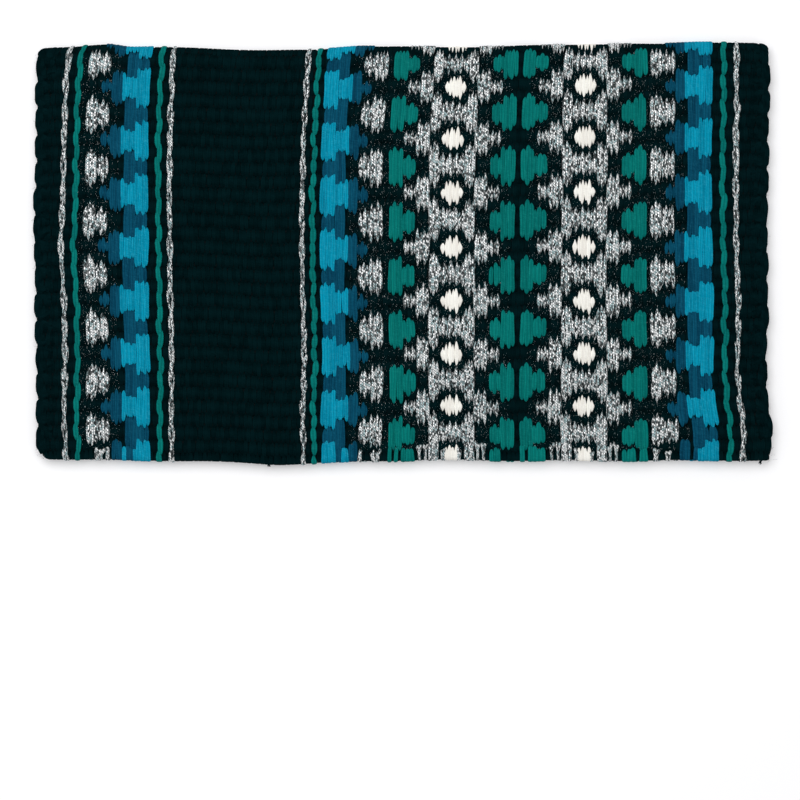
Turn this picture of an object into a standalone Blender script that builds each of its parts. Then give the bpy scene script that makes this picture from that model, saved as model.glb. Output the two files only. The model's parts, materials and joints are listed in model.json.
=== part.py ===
"""Woven wool saddle blanket, folded double.

A warp-faced cloth: fine warp yarns run along Y and hide thick weft cords that run along X, so the
cloth is ribbed crosswise. Coloured warp floats lie over the ribs in stripes and stepped blocks.
The blanket lies folded on a flat surface with the fold at +Y and the woven ends at -Y. Its upper
half turns about the fold. Origin: middle of the footprint, on the surface. Units are metres.

Places along the cloth are counted in ribs from the fold. A column's colour is one band of warp
that runs the whole length: it shows as blocks, and between them it is drawn here as one narrow
run, where the real yarns dip behind the black ones.
"""

import math

import bmesh
import bpy

# Driving sizes
WIDTH = 0.864
DROP = 0.494
CLOTH = 0.0075
FLOAT_LIFT = 0.0012
RIB_DEPTH = 0.0012
END_DEPTH = 0.0099
SELVEDGE_DEPTH = 0.0125
SCALLOP_DIP = 0.0036
FOLD_END_INSET = 0.0035
LINK_WIDTH = 0.0022
LINK_THICKNESS = 0.0004
LINK_RISE = 0.0001
GAP = 0.0003

# Counts
RIBS = 30
MOTIF_RIBS = 4
SCALLOP_RIBS = 2
FOLD_SEGMENTS = 10
CORNER_SEGMENTS = 3
SCALLOP_SEGMENTS = 4

# Shares: a rib's flat crest of its pitch, and a corner's radius of the edge that it rounds
CREST_SHARE = 0.5
CORNER_SHARE = 0.8

# Worked out from the driving sizes
FOLD_RADIUS = GAP / 2 + CLOTH + GAP + FLOAT_LIFT
AXIS_Y = DROP / 2 - FOLD_RADIUS
AXIS_Z = FOLD_RADIUS
FIELD_START = AXIS_Y - GAP / 2
FIELD_LENGTH = FIELD_START + DROP / 2 - GAP - END_DEPTH
RIB_PITCH = FIELD_LENGTH / RIBS

# Heights of the steps of the motifs, in rib pitches
RISE_SHARES = {"tall": 2.85, "long": 1.85, "short": 1.55, "step": 2.15, "tip": 0.72}

# Where petrol turns round a turquoise block: heights of its two inner steps, in rib pitches
PETROL_BAY_SHARES = (3.16, 1.62)

# The rib that the first motif of a row is centred on, in rib pitches from the fold: the cloth is
# one length, so the rows of the lower half are half a repeat off those of the upper half
ROW_START_SHARES = {
    "upper": {"diamond_row": 2.5, "block_row": 0.5},
    "lower": {"diamond_row": 0.5, "block_row": 2.5},
}

# Warp stripes: left and right edge as shares of the width, counted from the middle
STRIPE_SHARES = {
    "silver_pinstripe_1": ("silver", -0.4649, -0.4571),
    "teal_stripe_1": ("teal", -0.4484, -0.4396),
    "teal_stripe_2": ("teal", -0.3341, -0.3261),
    "silver_pinstripe_2": ("silver", -0.3185, -0.3111),
    "silver_pinstripe_3": ("silver", -0.1376, -0.1300),
    "teal_stripe_3": ("teal", -0.1248, -0.1138),
    "teal_stripe_4": ("teal", 0.4371, 0.4459),
    "silver_pinstripe_4": ("silver", 0.4554, 0.4632),
}

# Columns of two-step blocks: yarn, row, the name of the lower step's height, then three places as
# shares of the width: the tall step's straight edge, the join of the steps, the low step's edge
BLOCK_SHARES = {
    "silver_blocks_1": ("silver", "block_row", "long", (-0.4316, -0.4160, -0.4004)),
    "turquoise_blocks_1": ("turquoise", "diamond_row", "short", (-0.3458, -0.3629, -0.3828)),
    "turquoise_blocks_2": ("turquoise", "diamond_row", "short", (-0.1090, -0.0902, -0.0722)),
    "silver_blocks_2": ("silver", "block_row", "long", (-0.0264, -0.0431, -0.0578)),
    "teal_blocks_1": ("teal", "block_row", "short", (-0.0172, 0.0007, 0.0174)),
    "teal_blocks_2": ("teal", "block_row", "short", (0.1528, 0.1346, 0.1200)),
    "teal_blocks_3": ("teal", "block_row", "short", (0.1616, 0.1784, 0.1958)),
    "teal_blocks_4": ("teal", "block_row", "short", (0.3345, 0.3185, 0.3014)),
    "silver_blocks_3": ("silver", "block_row", "long", (0.3403, 0.3554, 0.3728)),
    "turquoise_blocks_3": ("turquoise", "diamond_row", "short", (0.4240, 0.4066, 0.3866)),
}

# Petrol columns: the turquoise column that each goes round, and the places of its step's and its
# tip's edge as shares of the width
PETROL_SHARES = {
    "petrol_floats_1": ("turquoise_blocks_1", (-0.3972, -0.4112)),
    "petrol_floats_2": ("turquoise_blocks_2", (-0.0604, -0.0466)),
    "petrol_floats_3": ("turquoise_blocks_3", (0.3745, 0.3606)),
}

# Lattice columns: the place of their middle, then half widths as shares of the width, each with
# the distance from a motif's middle, in rib pitches, to which it reaches
LATTICE_CENTRE_SHARES = (0.0676, 0.2490)
LATTICE_EDGE_SHARES = (0.0308, ((0.0479, 1.08), (0.0636, 0.36)))
WINDOW_SHARES = ((0.0178, 1.30), (0.0300, 0.52))
DIAMOND_SHARES = ((0.0062, 0.68), (0.0155, 0.0))

# Yarns: colour as seen on a screen, roughness, metallic
YARNS = {
    "black": ((0.010, 0.072, 0.085), 0.92, 0.0),
    "turquoise": ((0.016, 0.565, 0.690), 0.85, 0.0),
    "petrol": ((0.050, 0.300, 0.410), 0.88, 0.0),
    "teal": ((0.016, 0.460, 0.425), 0.86, 0.0),
    "silver": ((0.640, 0.660, 0.660), 0.38, 0.75),
    "cream": ((0.945, 0.930, 0.895), 0.85, 0.0),
}


def clear_scene():
    """Removes whatever objects the file opened with."""
    for item in list(bpy.data.objects):
        bpy.data.objects.remove(item)


def screen_to_linear(value):
    """The linear light of one screen colour value."""
    if value <= 0.04045:
        return value / 12.92
    return ((value + 0.055) / 1.055) ** 2.4


def yarn_material(node, yarn):
    """A material of the node's own, in its yarn's colour."""
    colour, roughness, metallic = YARNS[yarn]
    material = bpy.data.materials.new(f"{node}_{yarn}")
    material.use_nodes = True
    shader = material.node_tree.nodes["Principled BSDF"]
    shader.inputs["Base Color"].default_value = (*map(screen_to_linear, colour), 1.0)
    shader.inputs["Roughness"].default_value = roughness
    shader.inputs["Metallic"].default_value = metallic
    return material


def across(share):
    """The place across the cloth of a share of the width."""
    return share * WIDTH


def free_along(ribs):
    """The place along the cloth of a number of ribs from the fold."""
    return FIELD_START - ribs * RIB_PITCH


def along(ribs):
    """The same, kept on the ribbed field."""
    return free_along(min(max(ribs, 0), RIBS))


def tidy_outline(points):
    """Drops the points of a closed outline that repeat or lie on a straight stretch."""
    kept = list(points)
    changed = True
    while changed:
        changed = False
        for k in range(len(kept)):
            (ax, ay), (bx, by), (cx, cy) = kept[k - 1], kept[k], kept[(k + 1) % len(kept)]
            if abs((bx - ax) * (cy - by) - (by - ay) * (cx - bx)) < (GAP / 100) ** 2:
                del kept[k]
                changed = True
                break
    return kept


def flat_curve(name, outlines, thickness):
    """A flat curve filled on both sides and extruded to the thickness about its own plane."""
    curve = bpy.data.curves.new(name, "CURVE")
    curve.dimensions = "2D"
    curve.fill_mode = "BOTH"
    curve.extrude = thickness / 2
    for points in outlines:
        spline = curve.splines.new("POLY")
        spline.points.add(len(points) - 1)
        for target, (x, y) in zip(spline.points, points):
            target.co = (x, y, 0.0, 1.0)
        spline.use_cyclic_u = True
    return curve


def place(name, data, yarn, half, location, rotation=(0.0, 0.0, 0.0)):
    """Makes the named object in its yarn and sets it in the world, under its half's parent."""
    item = bpy.data.objects.new(name, data)
    half.collection.objects.link(item)
    data.materials.append(yarn_material(name, yarn))
    item.rotation_euler = rotation
    item.location = location
    if half.parent is not None:
        item.parent = half.parent
        item.location = [target - base for target, base in zip(location, half.parent.location)]
    return item


def mesh_from(curve, yarn, name, half, location):
    """A welded mesh object from a flat curve, so that it can take a Boolean."""
    drawn = place(name, curve, yarn, half, location)
    bpy.context.view_layer.update()
    graph = bpy.context.evaluated_depsgraph_get()
    mesh = bpy.data.meshes.new_from_object(drawn.evaluated_get(graph))
    bpy.data.objects.remove(drawn)
    shape = bmesh.new()
    shape.from_mesh(mesh)
    bmesh.ops.remove_doubles(shape, verts=shape.verts, dist=GAP / 100)
    bmesh.ops.recalc_face_normals(shape, faces=shape.faces)
    shape.to_mesh(mesh)
    shape.free()
    mesh.materials.clear()
    return place(name, mesh, yarn, half, location)


def block_object(name, size, centre, collection):
    """A hidden rectangular block for cutting and joining."""
    shape = bmesh.new()
    bmesh.ops.create_cube(shape, size=1.0)
    bmesh.ops.scale(shape, vec=size, verts=shape.verts)
    mesh = bpy.data.meshes.new(name)
    shape.to_mesh(mesh)
    shape.free()
    item = bpy.data.objects.new(name, mesh)
    item.location = centre
    item.hide_render = True
    item.display_type = "WIRE"
    collection.objects.link(item)
    return item


def add_boolean(item, operation, other):
    """One Boolean step on an object."""
    step = item.modifiers.new(operation.lower(), "BOOLEAN")
    step.operation = operation
    step.solver = "EXACT"
    step.object = other


def motif_centres(start):
    """Where a row's motifs are centred, in ribs from the fold, with one past each end."""
    count = RIBS // MOTIF_RIBS + 3
    return [start + MOTIF_RIBS * (k - 1) for k in range(count)]


def stepped_side(base, levels, centres, at=along):
    """One stepped side of a column, from the fold down: (place across, place along) points.

    base is where the side runs between motifs, and each level is a place across with the
    distance from a motif's middle, in ribs, to which it reaches, the longest first.
    """
    points = [(base, at(min(0, centres[0] - MOTIF_RIBS / 2)))]
    for centre in centres:
        outward, inward = [], []
        before = base
        for place_across, reach in levels:
            outward += [(before, at(centre - reach)), (place_across, at(centre - reach))]
            inward += [(before, at(centre + reach)), (place_across, at(centre + reach))]
            before = place_across
        points += outward + inward[::-1]
    points.append((base, at(max(RIBS, centres[-1] + MOTIF_RIBS / 2))))
    return points


def upright_figure(middle, levels, centre):
    """A closed figure, alike on all sides, through each level's half width and reach."""
    quarter = [(across(half_width), reach * RIB_PITCH) for half_width, reach in levels]
    right = quarter + [(x, -y) for x, y in reversed(quarter)]
    left = [(-x, y) for x, y in reversed(right)]
    points = [(across(middle) + x, free_along(centre) + y) for x, y in right + left]
    return tidy_outline(points)


class Half:
    """One half of the folded cloth: the upper one faces up, the lower one faces down."""

    def __init__(self, word, way, collection, guides, parent):
        self.word = word
        self.collection = collection
        self.guides = guides
        self.parent = parent
        self.inner_z = AXIS_Z + way * GAP / 2
        self.outer_z = self.inner_z + way * CLOTH
        self.cloth_z = (self.inner_z + self.outer_z) / 2
        self.float_foot_z = self.outer_z + way * GAP
        self.float_z = self.float_foot_z + way * FLOAT_LIFT / 2
        self.link_z = self.float_foot_z + way * (LINK_RISE + LINK_THICKNESS / 2)
        self.way = way

    def build(self):
        """Builds every piece of this half."""
        self.build_ground()
        self.build_stripes()
        self.build_blocks()
        self.build_petrol()
        self.build_lattices()

    def centres(self, row):
        """The motif centres of one of this half's rows."""
        return motif_centres(ROW_START_SHARES[self.word][row])

    def floats(self, words, outline, yarn):
        """One flat float band over the ribs."""
        name = f"{self.word}_{words}"
        curve = flat_curve(name, [tidy_outline(outline)], FLOAT_LIFT)
        place(name, curve, yarn, self, (0.0, 0.0, self.float_z))

    def build_ground(self):
        """Builds the ribbed ground weave, its two selvedges and its end finish."""
        name = f"{self.word}_ground_weave"
        web = flat_curve(name, [self.rib_profile()], WIDTH - 2 * (SELVEDGE_DEPTH + GAP))
        place(name, web, "black", self, (0.0, 0.0, 0.0), (math.pi / 2, 0.0, math.pi / 2))
        for side, side_word, phase in ((-1, "left", 0), (1, "right", 1)):
            name = f"{self.word}_{side_word}_selvedge"
            edge = flat_curve(name, [selvedge_outline(side, phase)], CLOTH)
            place(name, edge, "black", self, (0.0, 0.0, self.cloth_z))
        name = f"{self.word}_end_finish"
        end = flat_curve(name, [end_outline()], CLOTH)
        place(name, end, "black", self, (0.0, 0.0, self.cloth_z))

    def rib_profile(self):
        """The ribbed section as (along, up) points, with crests out on both faces."""
        flank = (1 - CREST_SHARE) / 2
        faces = []
        for level, out in ((self.outer_z, self.way), (self.inner_z, -self.way)):
            valley = level - out * RIB_DEPTH
            points = [(along(0), valley)]
            for rib in range(RIBS):
                points.append((along(rib + flank), level))
                points.append((along(rib + 1 - flank), level))
                points.append((along(rib + 1), valley))
            faces.append(points)
        return faces[0] + faces[1][::-1]

    def build_stripes(self):
        """Builds the plain warp stripes, one band each."""
        for words, (yarn, left, right) in STRIPE_SHARES.items():
            start, stop = across(left), across(right)
            ends = along(0), along(RIBS)
            outline = [(start, ends[0]), (stop, ends[0]), (stop, ends[1]), (start, ends[1])]
            self.floats(words, outline, yarn)

    def build_blocks(self):
        """Builds the columns of two-step blocks, joined by one run at their straight edge."""
        for words, (yarn, row, low_rise, places) in BLOCK_SHARES.items():
            straight, join, outer = map(across, places)
            way = math.copysign(1, outer - straight)
            levels = (
                (join, RISE_SHARES["tall"] / 2),
                (outer - way * GAP / 2, RISE_SHARES[low_rise] / 2),
            )
            stepped = stepped_side(straight + way * LINK_WIDTH, levels, self.centres(row))
            self.floats(words, [(straight, along(0))] + stepped + [(straight, along(RIBS))], yarn)

    def build_petrol(self):
        """Builds the petrol columns, each a chain of steps round a column of turquoise blocks."""
        for words, (blocks, (step, tip)) in PETROL_SHARES.items():
            straight, shoulder, waist = map(across, BLOCK_SHARES[blocks][3])
            way = math.copysign(1, waist - straight)
            bay_tall, bay_short = PETROL_BAY_SHARES
            edge = straight + way * (LINK_WIDTH + GAP)
            centres = self.centres("diamond_row")
            inner = stepped_side(
                edge,
                ((shoulder + way * GAP, bay_tall / 2), (waist + way * GAP / 2, bay_short / 2)),
                centres,
            )
            arrow = stepped_side(
                waist,
                ((across(step), RISE_SHARES["step"] / 2), (across(tip), RISE_SHARES["tip"] / 2)),
                centres,
            )
            self.floats(words, inner + arrow[::-1], "petrol")

    def build_lattices(self):
        """Builds the open silver lattices and the strings of cream diamonds in their windows."""
        centres = self.centres("diamond_row")
        field = self.guide_block("field", WIDTH, FLOAT_LIFT * 2, 0.0, self.float_z)
        for number, share in enumerate(LATTICE_CENTRE_SHARES, 1):
            middle = across(share)
            base, levels = LATTICE_EDGE_SHARES
            sides = []
            for side in (1, -1):
                steps = [(middle + side * across(width), reach) for width, reach in levels]
                base_place = middle + side * across(base)
                sides.append(stepped_side(base_place, steps, centres, free_along))
            frame = tidy_outline(sides[0] + sides[1][::-1])
            windows = [upright_figure(share, WINDOW_SHARES, centre) for centre in centres]
            name = f"{self.word}_silver_lattice_{number}"
            curve = flat_curve(name, [frame] + windows, FLOAT_LIFT)
            lattice = mesh_from(curve, "silver", name, self, (0.0, 0.0, self.float_z))

            run = self.guide_block(
                f"cream_run_{number}", LINK_WIDTH, LINK_THICKNESS, middle, self.link_z
            )
            tunnel_height = LINK_THICKNESS + LINK_RISE + GAP
            tunnel = self.guide_block(
                f"cream_run_tunnel_{number}",
                LINK_WIDTH + 2 * GAP,
                2 * tunnel_height,
                middle,
                self.float_foot_z,
                RIB_PITCH,
            )
            add_boolean(lattice, "INTERSECT", field)
            add_boolean(lattice, "DIFFERENCE", tunnel)

            name = f"{self.word}_cream_diamonds_{number}"
            figures = [upright_figure(share, DIAMOND_SHARES, centre) for centre in centres]
            curve = flat_curve(name, figures, FLOAT_LIFT)
            diamonds = mesh_from(curve, "cream", name, self, (0.0, 0.0, self.float_z))
            add_boolean(diamonds, "INTERSECT", field)
            add_boolean(diamonds, "UNION", run)

    def guide_block(self, words, width, height, x, z, overrun=0.0):
        """A hidden block along the whole field."""
        length = along(0) - along(RIBS) + 2 * overrun
        middle_y = (along(0) + along(RIBS)) / 2
        name = f"{self.word}_{words}"
        return block_object(name, (width, length, height), (x, middle_y, z), self.guides)


def selvedge_outline(side, phase):
    """One selvedge: a round turn of the weft cord for every two ribs, and the seat inside."""
    radius = CORNER_SHARE * SELVEDGE_DEPTH
    steps = RIBS * SCALLOP_SEGMENTS // SCALLOP_RIBS
    points = []
    for k in range(steps + 1):
        ribs = RIBS * k / steps
        turn = abs(math.sin(math.pi * (ribs - phase) / SCALLOP_RIBS))
        reach = WIDTH / 2 - SCALLOP_DIP * (1 - turn)
        down = along(0) - along(ribs)
        if down < radius:
            corner = radius - math.sqrt(radius**2 - (radius - down) ** 2)
            reach = min(reach, WIDTH / 2 - corner)
        points.append((side * reach, along(ribs)))
    seat = side * (WIDTH / 2 - SELVEDGE_DEPTH)
    return points + [(seat, along(RIBS)), (seat, along(0))]


def end_outline():
    """The end finish seen from above: straight against the field, round at both corners."""
    top = along(RIBS) - GAP
    bottom = -DROP / 2
    reach = WIDTH / 2 - SCALLOP_DIP / 2
    radius = CORNER_SHARE * min(SELVEDGE_DEPTH, END_DEPTH)
    points = [(-reach, top), (reach, top)]
    for side in (1, -1):
        for k in range(CORNER_SEGMENTS + 1):
            turn = math.pi / 2 * (k if side > 0 else CORNER_SEGMENTS - k) / CORNER_SEGMENTS
            x = side * (reach - radius * (1 - math.cos(turn)))
            points.append((x, bottom + radius * (1 - math.sin(turn))))
    return points


def build_fold(half):
    """Builds the fold: the ground weave bent round its axis as one fat rib."""
    outer, bore = FOLD_RADIUS - GAP / 2, GAP / 2
    angles = [math.pi * (k / FOLD_SEGMENTS - 0.5) for k in range(FOLD_SEGMENTS + 1)]
    rim = [(outer * math.cos(a), outer * math.sin(a)) for a in angles]
    inner = [(bore * math.cos(a), bore * math.sin(a)) for a in (math.pi / 2, 0.0, -math.pi / 2)]
    section = flat_curve("fold_ground_weave", [rim + inner], WIDTH - 2 * FOLD_END_INSET)
    upright = (math.pi / 2, 0.0, math.pi / 2)
    place(section.name, section, "black", half, (0.0, AXIS_Y + GAP / 2, AXIS_Z), upright)


def main():
    """Builds the whole blanket."""
    clear_scene()
    blanket = bpy.data.collections.new("saddle_blanket")
    guides = bpy.data.collections.new("cutters")
    for collection in (blanket, guides):
        bpy.context.scene.collection.children.link(collection)

    hinge = bpy.data.objects.new("fold_hinge", None)
    hinge.location = (0.0, AXIS_Y, AXIS_Z)
    blanket.objects.link(hinge)

    lower = Half("lower", -1, blanket, guides, None)
    upper = Half("upper", 1, blanket, guides, hinge)
    lower.build()
    upper.build()
    build_fold(lower)


main()
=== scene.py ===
"""Woven wool saddle blanket, folded double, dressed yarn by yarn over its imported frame.

The cloth is warp faced: fine warp yarns run along Y and hide thick weft cords that run along X.
Every place on it has three cloth coordinates. x is the place across, in metres. s is the place
along the one long cloth, in ribs, with 0 at the middle of the fold, the upper half at s above 0.5
and the lower half at s below -0.5. r is the distance from the plane between the two halves, or
from the fold's axis, in metres, so that a large r is the outer face and a small r the inner face.
"""

from __future__ import annotations

import json
import logging
import math
from collections.abc import Callable, Iterable
from dataclasses import dataclass, field, replace
from enum import Enum
from functools import reduce
from operator import add

import bpy
import numpy as np
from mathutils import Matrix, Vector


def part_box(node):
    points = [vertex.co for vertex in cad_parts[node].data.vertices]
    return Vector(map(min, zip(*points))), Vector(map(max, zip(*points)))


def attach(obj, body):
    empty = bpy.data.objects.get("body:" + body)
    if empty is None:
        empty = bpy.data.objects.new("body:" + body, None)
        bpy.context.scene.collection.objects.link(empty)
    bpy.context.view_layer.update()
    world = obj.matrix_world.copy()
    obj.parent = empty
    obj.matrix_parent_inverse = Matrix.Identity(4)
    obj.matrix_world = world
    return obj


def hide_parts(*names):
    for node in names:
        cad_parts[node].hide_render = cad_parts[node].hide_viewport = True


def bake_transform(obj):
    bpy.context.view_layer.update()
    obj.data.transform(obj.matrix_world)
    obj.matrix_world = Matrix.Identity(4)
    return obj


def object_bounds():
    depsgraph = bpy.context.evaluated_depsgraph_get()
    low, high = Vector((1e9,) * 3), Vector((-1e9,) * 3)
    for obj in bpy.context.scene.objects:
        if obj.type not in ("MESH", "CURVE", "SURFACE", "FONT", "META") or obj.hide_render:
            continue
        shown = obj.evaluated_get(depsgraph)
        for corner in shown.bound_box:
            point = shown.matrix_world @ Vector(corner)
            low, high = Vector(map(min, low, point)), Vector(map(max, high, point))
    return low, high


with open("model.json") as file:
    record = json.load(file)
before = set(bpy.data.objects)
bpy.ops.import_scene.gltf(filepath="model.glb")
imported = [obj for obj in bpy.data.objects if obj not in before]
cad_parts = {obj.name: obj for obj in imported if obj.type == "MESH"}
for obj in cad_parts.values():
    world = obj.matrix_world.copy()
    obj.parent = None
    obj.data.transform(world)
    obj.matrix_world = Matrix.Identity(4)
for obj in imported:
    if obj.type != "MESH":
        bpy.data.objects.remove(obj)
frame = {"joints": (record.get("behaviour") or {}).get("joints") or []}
CAD_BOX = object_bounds()

log = logging.getLogger("saddle_blanket")

Array = np.ndarray
Colour = tuple[float, float, float]

# Metres by which a yarn's map starts later for each unit of its own random number.
RUN_OFFSET = 3.7

# The shortest runs worth laying, in ribs: on the outer face, in the fold and on the inner face.
SHORTEST, SHORTEST_FOLD, SHORTEST_INNER = 0.12, 0.02, 0.06

# The frame's directions: across the cloth, along it towards the fold, and up.
ACROSS, ALONG, UP = np.eye(3)


# Choices


class Yarn(Enum):
    """The yarns of the blanket, each with the name of its slot in the record."""

    BLACK = "black_wool"
    TURQUOISE = "turquoise_wool"
    PETROL = "petrol_wool"
    TEAL = "teal_wool"
    SILVER = "silver_metallic_yarn"
    CREAM = "cream_wool"


class Face(Enum):
    """A face of the cloth: the outer one shows when it is folded, the inner one when open."""

    OUTER = 1
    INNER = -1


class Section(Enum):
    """A stretch of the cloth that moves in one way, with the body or bodies that carry it."""

    UPPER = ("upper", "upper_half")
    FOLD_UPPER = ("fold_upper", "")
    FOLD_LOWER = ("fold_lower", "")
    LOWER = ("lower", "lower_half")

    @property
    def word(self) -> str:
        """The start of the names of its pieces."""
        return self.value[0]

    @property
    def body(self) -> str:
        """The body that it rides on, empty in the fold."""
        return self.value[1]

    @property
    def way(self) -> int:
        """1 on the upper side of the fold, -1 on the lower side."""
        return 1 if self in (Section.UPPER, Section.FOLD_UPPER) else -1


HALVES = (Section.UPPER, Section.LOWER)


class Row(Enum):
    """A row of motifs, by the place of its first motif past the fold, in ribs."""

    BLOCKS = 1.0
    DIAMONDS = 3.0


class Ending(Enum):
    """How the yarns of a step reach the woven end of the cloth."""

    FLOAT = "they float as the plan has it"
    GONE = "they stay on the back"
    PATCH = "they come up once more and go over the edge"
    PAIR = "two yarns run together to a thick thread"
    FORK = "two yarns run together to a thin thread"


# Sizes


@dataclass(frozen=True)
class ClothSizes:
    """Sizes of the folded cloth in metres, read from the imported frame."""

    width: float
    field_start: float
    field_end: float
    front: float
    axis_z: float
    ribs: int = 30
    repeat: float = 4.0
    crest: float = 0.0080
    valley: float = 0.0054
    inner_crest: float = 0.00035
    inner_valley: float = 0.0022
    float_top: float = 0.0092
    float_dip: float = 0.0007
    hollow: float = 0.0038
    grain_pitch: float = 0.0052
    turn_ease: float = 0.0002
    wrap_share: float = 0.92

    @property
    def rib_pitch(self) -> float:
        """Length of one rib along the cloth."""
        return (self.field_start - self.field_end) / self.ribs

    @property
    def last(self) -> float:
        """The place along of the end of the ribbed field, in ribs."""
        return self.ribs + 0.5

    @property
    def middle(self) -> float:
        """Distance of the middle of a half's thickness from the plane between the halves."""
        return 0.5 * (self.crest + self.inner_crest)

    @property
    def turn_radius(self) -> float:
        """Radius of the outer face where the cloth turns round its woven end."""
        return self.crest - self.middle + self.turn_ease

    @property
    def turn(self) -> float:
        """The place along where that turn begins, in ribs."""
        return 0.5 + (self.field_start - self.front - self.turn_radius) / self.rib_pitch

    @property
    def wrap(self) -> float:
        """The place along where the turned warp ends stop under the edge, in ribs."""
        return self.turn + self.wrap_share * math.pi * self.turn_radius / self.rib_pitch


def sizes_from_frame() -> ClothSizes:
    """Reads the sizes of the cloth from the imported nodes.

    Returns:
        The sizes that every piece shares.
    """
    low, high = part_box("upper_ground_weave")
    end_low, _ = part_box("upper_end_finish")
    hinge = next(j for j in frame["joints"] if j["name"] == "fold_hinge")
    box_low, box_high = CAD_BOX
    return ClothSizes(
        width=float(box_high[0] - box_low[0]),
        field_start=float(high[1]),
        field_end=float(low[1]),
        front=float(end_low[1]),
        axis_z=float(hinge["pos_m"][2]),
    )


# Shader writing


def arithmetic(operation: str, swapped: bool = False) -> Callable[[Value, object], Value]:
    """Makes the method of Value that stands for one sign of plain arithmetic.

    Args:
        operation: the Math node's operation.
        swapped: whether the other number comes first.

    Returns:
        The method.
    """

    def method(self: Value, other: object) -> Value:
        """The result of the operation on this Value and another Value or number."""
        return self.maths(operation, *((other, self) if swapped else (self, other)))

    return method


class Value:
    """A number that changes over a surface: a shader socket that takes plain arithmetic."""

    __add__, __radd__ = arithmetic("ADD"), arithmetic("ADD", True)
    __sub__, __rsub__ = arithmetic("SUBTRACT"), arithmetic("SUBTRACT", True)
    __mul__, __rmul__ = arithmetic("MULTIPLY"), arithmetic("MULTIPLY", True)
    __truediv__ = arithmetic("DIVIDE")

    def __init__(self, board: Board, socket: bpy.types.NodeSocket) -> None:
        """Wraps an output socket of the board's node tree."""
        self.board = board
        self.socket = socket

    def maths(self, operation: str, first: object, second: object = 0.0) -> Value:
        """Adds one Math node.

        Args:
            operation: the Math node's operation.
            first: a Value or a number.
            second: a Value or a number.

        Returns:
            The node's result.
        """
        made = self.board.node("ShaderNodeMath", {"operation": operation}, {0: first, 1: second})
        return Value(self.board, made.outputs[0])

    def swell(self) -> Value:
        """A wave that is 0 at every whole number and 1 half way between."""
        return 0.5 - 0.5 * self.maths("COSINE", self * math.tau)

    def absolute(self) -> Value:
        """The number without its sign."""
        return self.maths("ABSOLUTE", self)

    def larger(self, other: object) -> Value:
        """The larger of two numbers."""
        return self.maths("MAXIMUM", self, other)

    def floor(self) -> Value:
        """The whole number at or below."""
        return self.maths("FLOOR", self)

    def above(self, least: float) -> Value:
        """A number from 0 to 1, squeezed to the range from least to 1."""
        return least + (1.0 - least) * self

    def ramp(self, low: float, high: float) -> Value:
        """0 below low, 1 above high, and smooth between."""
        made = self.board.node(
            "ShaderNodeMapRange",
            {"interpolation_type": "SMOOTHSTEP", "clamp": True},
            {"Value": self, "From Min": low, "From Max": high},
        )
        return Value(self.board, made.outputs[0])


class Board:
    """The node tree of one material, with its Principled shader."""

    def __init__(self, name: str) -> None:
        """Starts a material with this name."""
        self.material = bpy.data.materials.new(name)
        self.material.use_nodes = True
        self.tree = self.material.node_tree
        self.shader = self.tree.nodes["Principled BSDF"]
        self.output = self.tree.nodes["Material Output"]

    def node(
        self, kind: str, settings: dict[str, object], sockets: dict[int | str, object]
    ) -> bpy.types.Node:
        """Adds one node of any kind.

        Args:
            kind: the node's type name.
            settings: its properties, set first.
            sockets: for each input, by name or number, a constant, a Value or an output socket.

        Returns:
            The new node.
        """
        made = self.tree.nodes.new(kind)
        for key, setting in settings.items():
            setattr(made, key, setting)
        for key, wanted in sockets.items():
            self.feed(made.inputs[key], wanted)
        return made

    def feed(self, socket: bpy.types.NodeSocket, wanted: object) -> None:
        """Links a Value or an output to an input, or sets the input to a constant."""
        wanted = wanted.socket if isinstance(wanted, Value) else wanted
        if isinstance(wanted, bpy.types.NodeSocket):
            self.tree.links.new(wanted, socket)
        else:
            socket.default_value = wanted

    def dress(self, looks: dict[str, object]) -> None:
        """Feeds the shader's inputs by their names."""
        for name, wanted in looks.items():
            self.feed(self.shader.inputs[name], wanted)

    def yarn_coordinates(self) -> tuple[Value, Value, Value]:
        """Reads where a point is on its own yarn.

        Returns:
            The turn about the yarn from 0 to 1, the length along it in metres, and the yarn's
            own random number from 0 to 1.
        """
        place = self.node("ShaderNodeUVMap", {"uv_map": "yarn"}, {})
        parts = self.node("ShaderNodeSeparateXYZ", {}, {0: place.outputs[0]})
        own = self.node("ShaderNodeAttribute", {"attribute_name": "shade"}, {})
        turn, run = (Value(self, parts.outputs[number]) for number in (0, 1))
        return turn, run, Value(self, own.outputs["Fac"])

    def join(self, x: object, y: object, z: object) -> bpy.types.NodeSocket:
        """Makes a vector of three values."""
        return self.node("ShaderNodeCombineXYZ", {}, {0: x, 1: y, 2: z}).outputs[0]

    def noise(self, place: object, scale: float, detail: float) -> Value:
        """Soft noise from 0 to 1 at a place, with its scale and number of finer layers."""
        sockets = {"Vector": place, "Scale": scale, "Detail": detail}
        made = self.node("ShaderNodeTexNoise", {"noise_dimensions": "3D"}, sockets)
        return Value(self, made.outputs[0])

    def mix(self, share: object, first: object, second: object) -> bpy.types.NodeSocket:
        """Mixes two colours by a share from 0 to 1."""
        made = self.node("ShaderNodeMix", {"data_type": "RGBA"}, {0: share, 6: first, 7: second})
        return made.outputs[2]

    def bump(self, height: object, strength: float, distance: float) -> bpy.types.NodeSocket:
        """The normal that a height gives, with its strength and its depth in metres."""
        sockets = {"Height": height, "Strength": strength, "Distance": distance}
        return self.node("ShaderNodeBump", {}, sockets).outputs[0]


def weighted(weights: Iterable[float], parts: Iterable[Value]) -> Value:
    """The sum of some Values, each times its weight."""
    return reduce(add, (weight * part for weight, part in zip(weights, parts)))


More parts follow.
